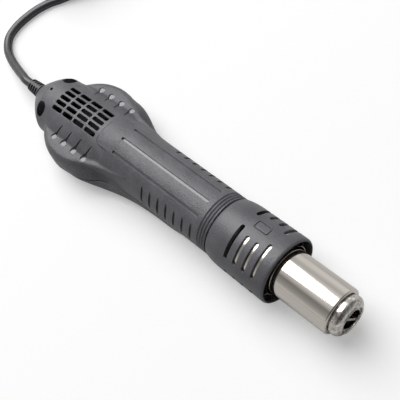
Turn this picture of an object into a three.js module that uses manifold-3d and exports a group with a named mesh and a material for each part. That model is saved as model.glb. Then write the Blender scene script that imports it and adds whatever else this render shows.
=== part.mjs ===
// Hot air rework handpiece: a moulded housing with a fan bulge at its rear, a vented collar,
// a steel barrel with an outlet cap, and a round cable that ends in a circular connector.
// Lengths are in millimetres. In the tool's own frame x runs along the barrel's axis, from the
// housing's rear face towards the outlet, z is up and the axis lies at y = 0, z = 0.

import * as THREE from 'three';
import { mergeVertices } from 'three/addons/utils/BufferGeometryUtils.js';
import Module from 'manifold-3d';

const wasm = await Module();
wasm.setup();

// Fits
const GAP = 0.3; // clearance between seated pieces
const SEAM_GAP = 0.3; // shadow line between the two shells
const SEAT = 0.05; // under a screw's head
const WALL = 1.8; // moulded wall of the housing
const ROUND = 32; // facets round a large turned form
const CAVITY_ROUND = 16; // facets round the hollow inside the housing
const SMALL_ROUND = 10; // facets round a small turned form

// Barrel, cap and what they hold
const BARREL_RADIUS = 11; // a nozzle with a 22 mm bore slides over it
const BARREL_WALL = 0.7;
const BARREL_LIP = 0.8; // thickness of the turned ends
const BARREL_REACH = 54.9; // from the seat to the front end
const CAP_RADIUS = 9.5;
const CAP_LENGTH = 4.9;
const CAP_NECK_RADIUS = 8.8;
const CAP_MOUTH_RADIUS = 6;
const CAP_FLANGE = 1.6;
const BAFFLE_THICKNESS = 1.4;
const BAFFLE_BAR = 1.3;
const MICA_RADIUS = 9.6;
const MICA_WALL = 0.5;
const CORE_RADIUS = 7.2;
const CORE_FIN = 1.9;
const WIRE_RADIUS = 0.4;
const WIRE_PITCH = 4.4;
const WIRE_LOOPS = 9;
const THERMOCOUPLE = { radius: 0.75, y: 3, z: 3 };
const PLATE_RADIUS = 13;
const PLATE_THICKNESS = 1;
const PLATE_HOLE = { circle: 8.3, radius: 2.5 };

// Handle
const HANDLE_RADIUS = 14.75;
const HANDLE_REAR_RADIUS = 14.95;
const HANDLE_END = 133; // where the collar's rear edge begins
const TAPER_START = 86;
const TAPER_END = 100;
const PANEL_START = 58.9; // step line of the raised top panel
const PANEL_LENGTH = 13.1; // beyond it the panel is flush with the handle
const PANEL_HALF_ANGLE = 35.5;
const GROOVE_WIDTH = 1.4;
const GROOVE_DEPTH = 0.6;
const GROOVE_START = 70.2;
const GROOVE_END = 125.5;
const GROOVE_ANGLE = 29.5; // the side grooves, each way from the top
const RIB_COUNT = 7;
const RIB_START = 93.3;
const RIB_PITCH = 5.15;
const RIB_WIDTH = 1.3;
const RIB_ANGLE = 67.5; // middle of each rib groove, each way from the top
const RIB_DEPTH = 0.85;
const RING_PLACES = [128.7, 130.2, 131.7];
const RING_WIDTH = 0.7;
const RING_DEPTH = 0.5;
const SPIGOT_RADIUS = 13.4; // the collar screws on to it
const SPIGOT_LENGTH = 7;
const SPIGOT_BORE = 12;

// Rear head and spine
const SEAM = -5.2; // height of the joint between the shells
const HEAD_REACH = 15; // rear face to the head's full width
const HEAD_HALF_WIDTH = 15.3;
const HEAD_FACE_HALF_WIDTH = 4.5;
const HEAD_POWER = 1.2;
const SPINE_HALF_WIDTH = 17.7;
const CROWN_REAR = 10.2;
const CROWN_FRONT = 13.9;
const SPINE_END = 70;
const BELLY_POWER = 2.3;

// Fan bulge
const DISC_X = 40.8;
const DISC_RADIUS = 24.3;
const DISC_RIM_TOP = -2.2;
const DISC_RIM_BOTTOM = -7.6;
const WING_EDGE = { radius: 21.6, height: 3.4 };
const WING_ROOT = { radius: 16, height: 5.6 };
const BELLY_RADIUS = 15; // flat that the housing lies on
// The flanks from the bulge into the handle: their widest line, and the rise above it
const FLANKS = [
  { x: 44, half: 23.8, widest: -4.5, rise: 9 },
  { x: 50, half: 24, widest: -4.5, rise: 9.5 },
  { x: 55, half: 23.1, widest: -5.2, rise: 9.8 },
  { x: 59, half: 21.6, widest: -6.8, rise: 10 },
  { x: 63, half: 19.8, widest: -8.6, rise: 9.6 },
  { x: 67, half: 18.3, widest: -9.8, rise: 9.8 },
  { x: 75, half: 16.4, widest: -9.2, rise: 12 },
  { x: 84, half: 14.9, widest: -9, rise: 12 },
  { x: 94, half: 14, widest: -9, rise: 12 },
  { x: 110, half: 13.5, widest: -9, rise: 12 },
  { x: 124, half: 11.6, widest: -9, rise: 12 },
];
const FLANK_BOTTOM = -14.6;
const FLANK_POWER = 2.2; // fullness of the flanks' section

// Openings in the housing
const GRILLE_ROWS = 4;
const GRILLE_COLUMNS = 5;
const GRILLE_START = 24;
const GRILLE_PITCH_X = 8.4;
const GRILLE_PITCH_Y = 3.15;
const SLOT_LENGTH = 7.3;
const SLOT_WIDTH = 2.1;
const BELLY_SLOT_ROWS = 2;
const GILL_COUNT = 4;
const GILL_START = 35.4;
const GILL_PITCH = 7.25;
const GILL_RADIUS = 1.1;
const GILL_INNER = { y: 11.2, z: 9.6 };
const GILL_OUTER = { y: 16.6, z: 6.2, back: 3.1 };
const WELL = { x: 16.9, y: 10, radius: 3, floor: -2 };
const BOSS_WALL = 1.2;
const PIN_HOLE = { x: 16.1, radius: 0.8 };

// Collar
const COLLAR_RADIUS = 16.2;
const COLLAR_REAR_RADIUS = 14.9;
const COLLAR_LENGTH = 34.6;
const COLLAR_SHOULDER = 8.8;
const COLLAR_WALL = 1.6;
const COLLAR_WEB = 1.3;
const COLLAR_SLOT_STATIONS = 4;
const COLLAR_SLOT_START = 12.7; // from the collar's rear edge
const COLLAR_SLOT_PITCH = 5.07;
const COLLAR_SLOT_WIDTH = 1.9;
const COLLAR_GROUPS = 4;
const COLLAR_SPINE_ANGLE = -17; // middle of the spine that carries the bare badge
const COLLAR_SPINE_HALF_ANGLE = 14;
const SHORT_SLOT_CUT = 10; // the slots beside the badge are shorter by this angle
const BADGE = { start: 16, length: 7.4, width: 4.4, depth: 0.3, line: 0.5 };

// Heat shield inside the collar
const SHIELD_RADIUS = 12.3;
const SHIELD_WALL = 0.5;
const SHIELD_START = 15;
const TAB = { count: 3, width: 3, length: 2.6 };

// Fan and its motor
const IMPELLER_RADIUS = 18;
const IMPELLER_PLATE = { bottom: -3.6, thickness: 0.9 };
const BLADE = { count: 9, top: 1.6, thickness: 0.9, sweep: 42 };
const HUB_RADIUS = 9;
const HUB_TOP = 4;
const HUB_WALL = 0.9;
const SHAFT_RADIUS = 1;
const BEARING_RADIUS = 2.2;
const TUBE_RADIUS = 3.1;
const STATOR_RADIUS = 7.5;
const STATOR_TEETH = 6;
const BASE_RADIUS = 17;
const BASE_TOP = -6;
const BASE_THICKNESS = 1;
const BOARD_RADIUS = 10;
const BOARD_THICKNESS = 1.1;
const FAN_POST_CIRCLE = 14.5;
const FAN_POST_RADIUS = 2.1;
const FAN_POST_ANGLES = [90, 210, 330];

// Screws
const SHELL_SCREW = { head: 2.5, headHeight: 1.8, shank: 1.1, length: 12 };
const FAN_SCREW = { head: 1.8, headHeight: 1.1, shank: 0.8, length: 5.5 };
const CLAMP_SCREW = { head: 1.7, headHeight: 1.2, shank: 0.8, length: 9 };

// Cable entry
const CORD_RADIUS = 2.35;
const CORD_HEIGHT = -5.4; // the cable's axis where it enters, from the barrel's axis
const BOOT_LENGTH = 8.5;
const BOOT_BASE_RADIUS = 3.8;
const BOOT_TIP_RADIUS = 2.9;
const BOOT_NECK_RADIUS = 2.9;
const BOOT_FLANGE = { radius: 3.6, thickness: 1.2, x: 3 };
const BOOT_RINGS = 4;
const BOOT_SLIT = 0.75;
const LEADS_RADIUS = 1.9;
const CLAMP = { x: 11.5, width: 3, halfSpan: 6.7, height: 3.2, screwY: 5 };
const CLAMP_POST_RADIUS = 1.9;

// Free cable, coil and connector
const COIL_LOOPS_BELOW = 3;
const COIL_LOOPS_ABOVE = 3.125;
const COIL_OUTER_RADIUS = 30.5; // to the middle of the outermost turn
const COIL_PITCH = 5.25;
const COIL_LAYER = 5.15;
const COIL_STEPS = 24;
const COIL_SIDES = 6;
const COIL_HEADING = 56; // direction in which the cable runs into the coil
const COIL_START = [-134.5, 67];
const TIE = { width: 4, thickness: 0.5, angle: 150 };
const TAIL = { loops: 0.3, growth: 1.2, climb: 8.5, bend: 12, reach: 3 }; // from the coil up on to it
const CONNECTOR = { shellRadius: 8, shellLength: 24, wall: 1.2, bootLength: 13 };
const NUT = { radius: 9.5, length: 12, flutes: 7 };
const PIN = { count: 8, circle: 4.3, radius: 0.7, length: 6.5 };

// Places that follow from the sizes above
const SPIGOT_END = HANDLE_END + SPIGOT_LENGTH;
const PLATE_X = SPIGOT_END + GAP;
const BARREL_X = PLATE_X + PLATE_THICKNESS + GAP;
const BARREL_END = BARREL_X + BARREL_REACH;
const COLLAR_X = HANDLE_END + 0.2;
const WEB_X = BARREL_X + BARREL_LIP + GAP;
const CAP_FLANGE_X = BARREL_END - BARREL_LIP - GAP - CAP_FLANGE;
const CAP_HEAD_X = BARREL_END + 0.5;
const CORE_X = BARREL_X;
const CORE_END = CAP_FLANGE_X - 1.5;
const OUTLET_X = CAP_HEAD_X + CAP_LENGTH;
const BOOT_TIP_X = -GAP - BOOT_LENGTH;
const TOOL_CENTRE_X = (BOOT_TIP_X + OUTLET_X) / 2;

// Finishes
const plastic = new THREE.MeshStandardMaterial({ color: 0x4a4b50, roughness: 0.62, metalness: 0 });
const rubber = new THREE.MeshStandardMaterial({ color: 0x3a3b3e, roughness: 0.8, metalness: 0 });
const steel = new THREE.MeshStandardMaterial({ color: 0xc9c4bc, roughness: 0.2, metalness: 1 });
const ceramic = new THREE.MeshStandardMaterial({ color: 0xe8e2d4, roughness: 0.8, metalness: 0 });
const mica = new THREE.MeshStandardMaterial({ color: 0xb09a78, roughness: 0.5, metalness: 0 });
const board = new THREE.MeshStandardMaterial({ color: 0x1f5a38, roughness: 0.5, metalness: 0 });
const copper = new THREE.MeshStandardMaterial({ color: 0xb87333, roughness: 0.35, metalness: 1 });
const brass = new THREE.MeshStandardMaterial({ color: 0xc8a24a, roughness: 0.3, metalness: 1 });

const radians = (degrees) => THREE.MathUtils.degToRad(degrees);
const mix = (a, b, t) => a + (b - a) * t;
const ease = (from, to, x) => THREE.MathUtils.smoothstep(x, from, to);

// Solids: a closed geometry becomes a solid that can be joined and cut
function solid(geometry) {
  const bare = new THREE.BufferGeometry();
  bare.setAttribute('position', geometry.getAttribute('position').clone());
  if (geometry.index) bare.setIndex(geometry.index.clone());
  const merged = mergeVertices(bare, 1e-4);
  const position = merged.getAttribute('position');
  const corners = [];
  let volume = 0;
  const a = new THREE.Vector3();
  const b = new THREE.Vector3();
  const c = new THREE.Vector3();
  for (let i = 0; i < merged.index.count; i += 3) {
    const [p, q, r] = [0, 1, 2].map((k) => merged.index.getX(i + k));
    if (p === q || q === r || r === p) continue;
    corners.push(p, q, r);
    a.fromBufferAttribute(position, p);
    b.fromBufferAttribute(position, q);
    c.fromBufferAttribute(position, r);
    volume += a.dot(b.cross(c));
  }
  if (volume < 0) corners.reverse();
  const vertProperties = new Float32Array(position.array);
  const triVerts = new Uint32Array(corners);
  return new wasm.Manifold(new wasm.Mesh({ numProp: 3, vertProperties, triVerts }));
}

const join = (...solids) => solids.flat().reduce((sum, part) => sum.add(part));
const cut = (body, ...tools) => tools.flat().reduce((rest, tool) => rest.subtract(tool), body);

function mesh(name, body, material) {
  const result = body.getMesh();
  const geometry = new THREE.BufferGeometry();
  geometry.setAttribute('position', new THREE.BufferAttribute(new Float32Array(result.vertProperties), 3));
  geometry.setIndex(new THREE.BufferAttribute(new Uint32Array(result.triVerts), 1));
  geometry.computeVertexNormals();
  const item = new THREE.Mesh(geometry, material);
  item.name = name;
  return item;
}

// Forms turned round the barrel's axis, from points [x, radius]
function turned(points, sides = ROUND) {
  const profile = points.map(([x, radius]) => new THREE.Vector2(radius, x));
  return solid(new THREE.LatheGeometry(profile, sides).rotateZ(-Math.PI / 2));
}

// Forms turned round an upright axis at (x, y), from points [radius, z]
function turnedUpright(points, x, y, sides = ROUND) {
  const profile = points.map(([radius, z]) => new THREE.Vector2(radius, z));
  return solid(new THREE.LatheGeometry(profile, sides).rotateX(Math.PI / 2).translate(x, y, 0));
}

function block(x, y, z) {
  const box = new THREE.BoxGeometry(x[1] - x[0], y[1] - y[0], z[1] - z[0]);
  return solid(box.translate((x[0] + x[1]) / 2, (y[0] + y[1]) / 2, (z[0] + z[1]) / 2));
}

function post(radius, x, y, bottom, top, sides = SMALL_ROUND) {
  const cylinder = new THREE.CylinderGeometry(radius, radius, top - bottom, sides);
  return solid(cylinder.rotateX(Math.PI / 2).translate(x, y, (top + bottom) / 2));
}

function rodAlongX(radius, start, end, y = 0, z = 0, sides = SMALL_ROUND) {
  const cylinder = new THREE.CylinderGeometry(radius, radius, end - start, sides);
  return solid(cylinder.rotateZ(Math.PI / 2).translate((start + end) / 2, y, z));
}

// A plate with the outline of a shape in the x-y plane
function slab(shape, bottom, top) {
  const options = { depth: top - bottom, bevelEnabled: false, curveSegments: 8 };
  return solid(new THREE.ExtrudeGeometry(shape, options).translate(0, 0, bottom));
}

function slotShape(length, width, corner) {
  const shape = new THREE.Shape();
  const [l, w] = [length / 2 - corner, width / 2 - corner];
  shape.absarc(l, w, corner, 0, Math.PI / 2);
  shape.absarc(-l, w, corner, Math.PI / 2, Math.PI);
  shape.absarc(-l, -w, corner, Math.PI, 1.5 * Math.PI);
  shape.absarc(l, -w, corner, 1.5 * Math.PI, 2 * Math.PI);
  return shape;
}

function upright(shape, bottom, top, x, y, segments = 3) {
  const options = { depth: top - bottom, bevelEnabled: false, curveSegments: segments };
  return solid(new THREE.ExtrudeGeometry(shape, options).translate(x, y, bottom));
}

// Closed skin over rings of points that all have the same count
function loft(rings) {
  const count = rings[0].length;
  const positions = rings.flat().flatMap((p) => [p.x, p.y, p.z]);
  const middles = [rings[0], rings[rings.length - 1]].map((ring) => {
    const middle = ring.reduce((sum, p) => sum.add(p), new THREE.Vector3()).divideScalar(count);
    positions.push(middle.x, middle.y, middle.z);
    return positions.length / 3 - 1;
  });
  const index = [];
  const last = (rings.length - 1) * count;
  for (let k = 0; k < count; k += 1) {
    const next = (k + 1) % count;
    for (let ring = 0; ring < rings.length - 1; ring += 1) {
      const near = ring * count;
      const far = near + count;
      index.push(near + k, near + next, far + next, near + k, far + next, far + k);
    }
    index.push(middles[0], next, k, middles[1], last + k, last + next);
  }
  const geometry = new THREE.BufferGeometry();
  geometry.setAttribute('position', new THREE.Float32BufferAttribute(positions, 3));
  geometry.setIndex(index);
  return solid(geometry);
}

// A slot that runs round the barrel's axis, with round ends. Angles count from the top.
function ringSlot(x, width, angles, inner, outer) {
  const radius = (inner + outer) / 2;
  const endAngle = THREE.MathUtils.radToDeg(width / 2 / radius);
  const stops = [0, 1];
  const middleSteps = Math.max(1, Math.round((angles[1] - angles[0]) / 30));
  const sections = [];
  const add = (angle, half) => sections.push([angle, half]);
  const share = (t) => Math.sqrt(Math.max(0.25, 1 - (1 - t) ** 2));
  stops.forEach((t) => add(angles[0] + endAngle * t, (width / 2) * share(t)));
  for (let i = 1; i < middleSteps; i += 1) {
    add(mix(angles[0] + endAngle, angles[1] - endAngle, i / middleSteps), width / 2);
  }
  [...stops].reverse().forEach((t) => {
    add(angles[1] - endAngle * t, (width / 2) * share(t));
  });
  return loft(sections.map(([angle, half]) => {
    const point = (dx, r) => aroundAxis(x + dx, r, angle);
    return [point(-half, inner), point(half, inner), point(half, outer), point(-half, outer)];
  }));
}

function plainRingSlot(x, width, angles, inner, outer) {
  const steps = Math.ceil((angles[1] - angles[0]) / 45);
  const sections = Array.from({ length: steps + 1 }, (_, i) => mix(angles[0], angles[1], i / steps));
  return loft(sections.map((angle) => {
    const point = (dx, r) => aroundAxis(x + dx, r, angle);
    const half = width / 2;
    return [point(-half, inner), point(half, inner), point(half, outer), point(-half, outer)];
  }));
}

// A point at a radius from the barrel's axis. The angle counts from the top towards -y.
function aroundAxis(x, radius, angle) {
  return new THREE.Vector3(x, -radius * Math.sin(radians(angle)), radius * Math.cos(radians(angle)));
}

// Housing: the head and spine are lofted from half ellipses, above and below the seam
function spineForm(inset) {
  const rear = inset;
  const faceShare = HEAD_FACE_HALF_WIDTH / HEAD_HALF_WIDTH;
  const domeLength = HEAD_REACH / (1 - faceShare ** HEAD_POWER) ** (1 / HEAD_POWER);
  const stations = inset > 0
    ? [0, 2.2, 5.5, 10, HEAD_REACH, 24, 34, 56, SPINE_END]
    : [0, 0.8, 2.2, 4.2, 6.8, 10, HEAD_REACH, 21, 28, 36, 56, 61, 65, SPINE_END];
  const rings = stations.map((station) => {
    const x = mix(rear, SPINE_END, station / SPINE_END);
    const behind = Math.max(0, (HEAD_REACH - x) / (domeLength - inset));
    const dome = (1 - behind ** HEAD_POWER) ** (1 / HEAD_POWER);
    const fade = 1 - ease(56, SPINE_END, x);
    const side = mix(HEAD_HALF_WIDTH, SPINE_HALF_WIDTH, ease(HEAD_REACH, 34, x));
    const halfWidth = (mix(HANDLE_REAR_RADIUS - 2.2, side, fade) - inset) * dome;
    const crown = mix(CROWN_REAR, CROWN_FRONT, ease(10, 52, x)) + (1 - fade) * 0.8;
    const above = (crown - SEAM - inset) * dome ** HEAD_POWER;
    const below = (mix(HANDLE_REAR_RADIUS - 0.8, COLLAR_RADIUS, fade) + SEAM - inset) * dome;
    const ring = [];
    const steps = inset > 0 ? 7 : 11;
    for (let i = 0; i < 2 * steps; i += 1) {
      const angle = (Math.PI * i) / steps;
      const [side1, up] = [Math.cos(angle), Math.sin(angle)];
      if (up >= 0) {
        ring.push(new THREE.Vector3(x, halfWidth * side1, SEAM + above * up));
      } else {
        const power = 2 / BELLY_POWER;
        const y = halfWidth * Math.sign(side1) * Math.abs(side1) ** power;
        ring.push(new THREE.Vector3(x, y, SEAM - below * Math.abs(up) ** power));
      }
    }
    return ring;
  });
  return loft(rings);
}

// Housing: the fan bulge is turned round the fan's axis
function discForm(inset) {
  const radius = DISC_RADIUS - inset;
  const bottom = -COLLAR_RADIUS + inset;
  const top = WING_ROOT.height - inset;
  if (inset > 0) {
    return turnedUpright([
      [0, bottom],
      [BELLY_RADIUS, bottom],
      [mix(BELLY_RADIUS, radius, 0.5), bottom + 2.6],
      [radius, DISC_RIM_BOTTOM - 0.9],
      [radius, DISC_RIM_TOP],
      [WING_EDGE.radius - inset, WING_EDGE.height - inset],
      [WING_ROOT.radius, top],
      [0, top],
    ], DISC_X, 0, CAVITY_ROUND + 8);
  }
  return turnedUpright([
    [0, bottom],
    [BELLY_RADIUS, bottom],
    [mix(BELLY_RADIUS, radius, 0.5), bottom + 2.6],
    [mix(BELLY_RADIUS, radius, 0.85), bottom + 6],
    [radius - 0.3, DISC_RIM_BOTTOM - 0.9],
    [radius, DISC_RIM_BOTTOM],
    [radius, DISC_RIM_TOP],
    [radius - 0.35, mix(DISC_RIM_TOP, WING_EDGE.height, 0.35)],
    [radius - 1.2, mix(DISC_RIM_TOP, WING_EDGE.height, 0.7)],
    [WING_EDGE.radius, WING_EDGE.height],
    [WING_ROOT.radius, top],
    [0, top],
  ], DISC_X, 0, ROUND + 2);
}

// Housing: the flanks that run from the bulge into the handle
function flareForm(inset) {
  const stations = inset > 0 ? FLANKS.slice(0, -1) : FLANKS;
  const steps = inset > 0 ? 5 : 8;
  const power = 2 / FLANK_POWER;
  return loft(stations.map(({ x, half, widest, rise }) => {
    return Array.from({ length: 2 * steps }, (_, i) => {
      const angle = (Math.PI * i) / steps;
      const [across, up] = [Math.cos(angle), Math.sin(angle)];
      const y = (half - inset) * Math.sign(across) * Math.abs(across) ** power;
      const reach = (up >= 0 ? rise : widest - FLANK_BOTTOM) - inset;
      return new THREE.Vector3(x, y, widest + reach * Math.sign(up) * Math.abs(up) ** power);
    });
  }));
}

// Housing: the handle is turned round the barrel's axis
function handleForm(inset) {
  const r = (radius) => radius - inset;
  return turned([
    [50, 0],
    [50, r(12.6)],
    [56, r(13.6)],
    [66, r(HANDLE_REAR_RADIUS)],
    [TAPER_START, r(HANDLE_REAR_RADIUS - 0.2)],
    [TAPER_END, r(HANDLE_RADIUS)],
    [HANDLE_END, r(HANDLE_RADIUS)],
    [HANDLE_END, 0],
  ], inset > 0 ? CAVITY_ROUND - 2 : ROUND);
}

function panelForm() {
  const top = HANDLE_REAR_RADIUS;
  const ring = turned([
    [PANEL_START, 0],
    [PANEL_START, top - 0.4],
    [PANEL_START + 0.4, top],
    [PANEL_START + PANEL_LENGTH, top - 0.02],
    [PANEL_START + PANEL_LENGTH, 0],
  ]);
  const reach = 2 * top;
  const wedge = new THREE.Shape();
  const half = radians(PANEL_HALF_ANGLE);
  wedge.moveTo(0, 0);
  wedge.lineTo(reach * Math.sin(half), reach * Math.cos(half));
  wedge.lineTo(-reach * Math.sin(half), reach * Math.cos(half));
  wedge.closePath();
  const prism = new THREE.ExtrudeGeometry(wedge, { depth: 30, bevelEnabled: false });
  prism.rotateX(Math.PI / 2).rotateZ(Math.PI / 2).translate(PANEL_START - 5, 0, 0);
  return ring.intersect(solid(prism));
}

const outerForm = join(spineForm(0), discForm(0), flareForm(0), handleForm(0), panelForm());
const rod = (radius, start, end) => [[start, 0], [start, radius], [end, radius], [end, 0]];
const spigot = turned(rod(SPIGOT_RADIUS, HANDLE_END - 4, SPIGOT_END));
const across = [-2 * COLLAR_RADIUS, 2 * COLLAR_RADIUS];
const bore = turned(rod(SPIGOT_BORE, SPIGOT_END - 28, SPIGOT_END + 1), CAVITY_ROUND);
const handleCavity = cut(handleForm(WALL), block([HANDLE_END - 11, SPIGOT_END], across, across));
const cavity = join(spineForm(WALL), discForm(WALL), flareForm(WALL), handleCavity, bore);
const shellWall = cut(join(outerForm, spigot), cavity);

function housingCuts() {
  const tools = [];
  for (let row = 0; row < GRILLE_ROWS; row += 1) {
    for (let column = 0; column < GRILLE_COLUMNS; column += 1) {
      const x = GRILLE_START + SLOT_LENGTH / 2 + row * GRILLE_PITCH_X;
      const y = (column - (GRILLE_COLUMNS - 1) / 2) * GRILLE_PITCH_Y;
      const [l, w] = [SLOT_LENGTH / 2, SLOT_WIDTH / 2];
      tools.push(block([x - l, x + l], [y - w, y + w], [5, 18]));
    }
  }
  for (const angle of [-GROOVE_ANGLE, 0, GROOVE_ANGLE]) {
    const length = GROOVE_END - GROOVE_START;
    const tilt = Math.atan((HANDLE_REAR_RADIUS - HANDLE_RADIUS) / length);
    const shape = slotShape(length, GROOVE_WIDTH, GROOVE_WIDTH / 2 - 0.01);
    const groove = new THREE.ExtrudeGeometry(shape, { depth: 5, bevelEnabled: false, curveSegments: 2 });
    const middle = (HANDLE_RADIUS + HANDLE_REAR_RADIUS) / 2 - GROOVE_DEPTH;
    groove.rotateY(tilt).translate((GROOVE_START + GROOVE_END) / 2, 0, middle);
    tools.push(solid(groove.rotateX(radians(angle))));
  }
  for (let rib = 0; rib < RIB_COUNT; rib += 1) {
    const x = RIB_START + rib * RIB_PITCH;
    for (const side of [-1, 1]) {
      const groove = new THREE.BoxGeometry(RIB_WIDTH, 14, 4);
      groove.translate(x, 0, HANDLE_RADIUS - RIB_DEPTH + 2);
      tools.push(solid(groove.rotateX(radians(side * RIB_ANGLE))));
    }
  }
  for (const x of RING_PLACES) {
    const inner = HANDLE_RADIUS - RING_DEPTH;
    const outer = HANDLE_RADIUS + RING_DEPTH;
    tools.push(turned([[x, inner], [x + RING_WIDTH, outer], [x - RING_WIDTH, outer], [x, inner]]));
  }
  for (let gill = 0; gill < GILL_COUNT; gill += 1) {
    for (const side of [-1, 1]) {
      const x = GILL_START + gill * GILL_PITCH;
      const from = new THREE.Vector3(x, side * GILL_INNER.y, GILL_INNER.z);
      const to = new THREE.Vector3(x - GILL_OUTER.back, side * GILL_OUTER.y, GILL_OUTER.z);
      const along = to.clone().sub(from);
      const capsule = new THREE.CapsuleGeometry(GILL_RADIUS, along.length(), 1, 7);
      const turn = new THREE.Quaternion();
      turn.setFromUnitVectors(new THREE.Vector3(0, 1, 0), along.clone().normalize());
      capsule.applyQuaternion(turn).translate(...from.clone().add(to).divideScalar(2).toArray());
      tools.push(solid(capsule));
    }
  }
  return tools;
}

const above = block([-30, 180], [-40, 40], [SEAM + SEAM_GAP / 2, 40]);
const below = block([-30, 180], [-40, 40], [-40, SEAM - SEAM_GAP / 2]);
const flangeEnd = BOOT_FLANGE.x + BOOT_FLANGE.thickness + GAP;
const neckHole = join(
  rodAlongX(BOOT_NECK_RADIUS + GAP, -2, BOOT_FLANGE.x, 0, CORD_HEIGHT, 12),
  rodAlongX(BOOT_FLANGE.radius + GAP, BOOT_FLANGE.x - GAP, flangeEnd + 1, 0, CORD_HEIGHT, 12),
);

function upperShell() {
  const bosses = [-1, 1].map((side) => {
    return post(WELL.radius + BOSS_WALL, WELL.x, side * WELL.y, SEAM + SEAM_GAP / 2, 14);
  });
  const body = join(shellWall, bosses.map((boss) => boss.intersect(outerForm)));
  const wells = [-1, 1].flatMap((side) => [
    post(WELL.radius, WELL.x, side * WELL.y, WELL.floor, 20),
    post(SHELL_SCREW.shank + GAP, WELL.x, side * WELL.y, SEAM - 2, WELL.floor + 1, 8),
  ]);
  const pinHole = post(PIN_HOLE.radius, PIN_HOLE.x, 0, 4, 20, 8);
  return cut(body.intersect(above), housingCuts(), wells, pinHole, neckHole);
}

function lowerShell() {
  const floor = -COLLAR_RADIUS + WALL / 2;
  const seat = SEAM - SEAM_GAP / 2;
  const supports = [-1, 1].map((side) => post(WELL.radius + BOSS_WALL, WELL.x, side * WELL.y, floor, seat));
  supports.push(...[-1, 1].map((side) => {
    return post(CLAMP_POST_RADIUS, CLAMP.x, side * CLAMP.screwY, floor, seat);
  }));
  const drilled = [-1, 1].flatMap((side) => [
    post(SHELL_SCREW.shank + GAP, WELL.x, side * WELL.y, WELL.floor - SHELL_SCREW.length - 0.5, 0, 7),
    post(CLAMP_SCREW.shank + GAP, CLAMP.x, side * CLAMP.screwY, seat - 7.6, 0, 7),
  ]);
  for (const angle of FAN_POST_ANGLES) {
    const x = DISC_X + FAN_POST_CIRCLE * Math.cos(radians(angle));
    const y = FAN_POST_CIRCLE * Math.sin(radians(angle));
    supports.push(post(FAN_POST_RADIUS, x, y, floor, BASE_TOP - BASE_THICKNESS - GAP));
    drilled.push(post(FAN_SCREW.shank + GAP, x, y, BASE_TOP - FAN_SCREW.length - 0.6, 0, 7));
  }
  const vents = [];
  for (let row = 0; row < BELLY_SLOT_ROWS; row += 1) {
    for (let column = 0; column < GRILLE_COLUMNS; column += 1) {
      const x = DISC_X + (row - (BELLY_SLOT_ROWS - 1) / 2) * GRILLE_PITCH_X;
      const y = (column - (GRILLE_COLUMNS - 1) / 2) * GRILLE_PITCH_Y;
      const [l, w] = [SLOT_LENGTH / 2, SLOT_WIDTH / 2];
      vents.push(block([x - l, x + l], [y - w, y + w], [-20, -12]));
    }
  }
  const rings = housingCuts().slice(-RING_PLACES.length - 2 * GILL_COUNT, -2 * GILL_COUNT);
  const body = join(shellWall, supports.map((support) => support.intersect(outerForm)));
  return cut(body.intersect(below), rings, drilled, vents, neckHole);
}

function panScrew(spec, x, y, seat) {
  const top = seat + spec.headHeight;
  return turnedUpright([
    [0, seat - spec.length],
    [spec.shank, seat - spec.length + 1],
    [spec.shank, seat],
    [spec.head, seat],
    [spec.head, top - spec.headHeight * 0.35],
    [spec.head * 0.7, top],
    [0, top],
  ], x, y, 7);
}

// Collar: a turned guard with slots round it and a bare badge on one of its spines
function ventedCollar() {
  const front = COLLAR_X + COLLAR_LENGTH;
  const bore1 = COLLAR_RADIUS - COLLAR_WALL;
  const body = turned([
    [COLLAR_X, SPIGOT_RADIUS + GAP],
    [COLLAR_X, COLLAR_REAR_RADIUS - 0.5],
    [COLLAR_X + 0.4, COLLAR_REAR_RADIUS],
    [COLLAR_X + COLLAR_SHOULDER * 0.45, COLLAR_REAR_RADIUS + 0.75],
    [COLLAR_X + COLLAR_SHOULDER, COLLAR_REAR_RADIUS + 1.05],
    [front - 1, COLLAR_RADIUS],
    [front - 0.3, COLLAR_RADIUS - 0.4],
    [front, COLLAR_RADIUS - 0.9],
    [front - 0.6, bore1],
    [WEB_X + COLLAR_WEB, bore1],
    [WEB_X + COLLAR_WEB, BARREL_RADIUS + 2 * GAP],
    [WEB_X, BARREL_RADIUS + 2 * GAP],
    [WEB_X, SPIGOT_RADIUS + GAP],
    [COLLAR_X, SPIGOT_RADIUS + GAP],
  ]);
  const slots = [];
  const groupPitch = 360 / COLLAR_GROUPS;
  for (let group = 0; group < COLLAR_GROUPS; group += 1) {
    const spine = COLLAR_SPINE_ANGLE + group * groupPitch;
    for (let station = 0; station < COLLAR_SLOT_STATIONS; station += 1) {
      const beside = station === 1 || station === 2;
      const startCut = beside && group === 0 ? SHORT_SLOT_CUT : 0;
      const endCut = beside && group === COLLAR_GROUPS - 1 ? SHORT_SLOT_CUT : 0;
      const from = spine + COLLAR_SPINE_HALF_ANGLE + startCut;
      const to = spine + groupPitch - COLLAR_SPINE_HALF_ANGLE - endCut;
      const x = COLLAR_X + COLLAR_SLOT_START + station * COLLAR_SLOT_PITCH;
      slots.push(ringSlot(x, COLLAR_SLOT_WIDTH, [from, to], bore1 - 1, COLLAR_RADIUS + 1.5));
    }
  }
  return cut(body, slots, badgeLine());
}

// The badge's place is a bare field inside a fine sunk frame
function badgeLine() {
  const outer = slotShape(BADGE.length, BADGE.width, 0.3);
  outer.holes.push(slotShape(BADGE.length - 2 * BADGE.line, BADGE.width - 2 * BADGE.line, 0.2));
  const frame = new THREE.ExtrudeGeometry(outer, { depth: 3, bevelEnabled: false, curveSegments: 1 });
  const x = COLLAR_X + BADGE.start + BADGE.length / 2;
  const height = mix(COLLAR_REAR_RADIUS + 1.05, COLLAR_RADIUS, 0.4) - BADGE.depth;
  return solid(frame.translate(x, 0, height).rotateX(radians(COLLAR_SPINE_ANGLE)));
}

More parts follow.
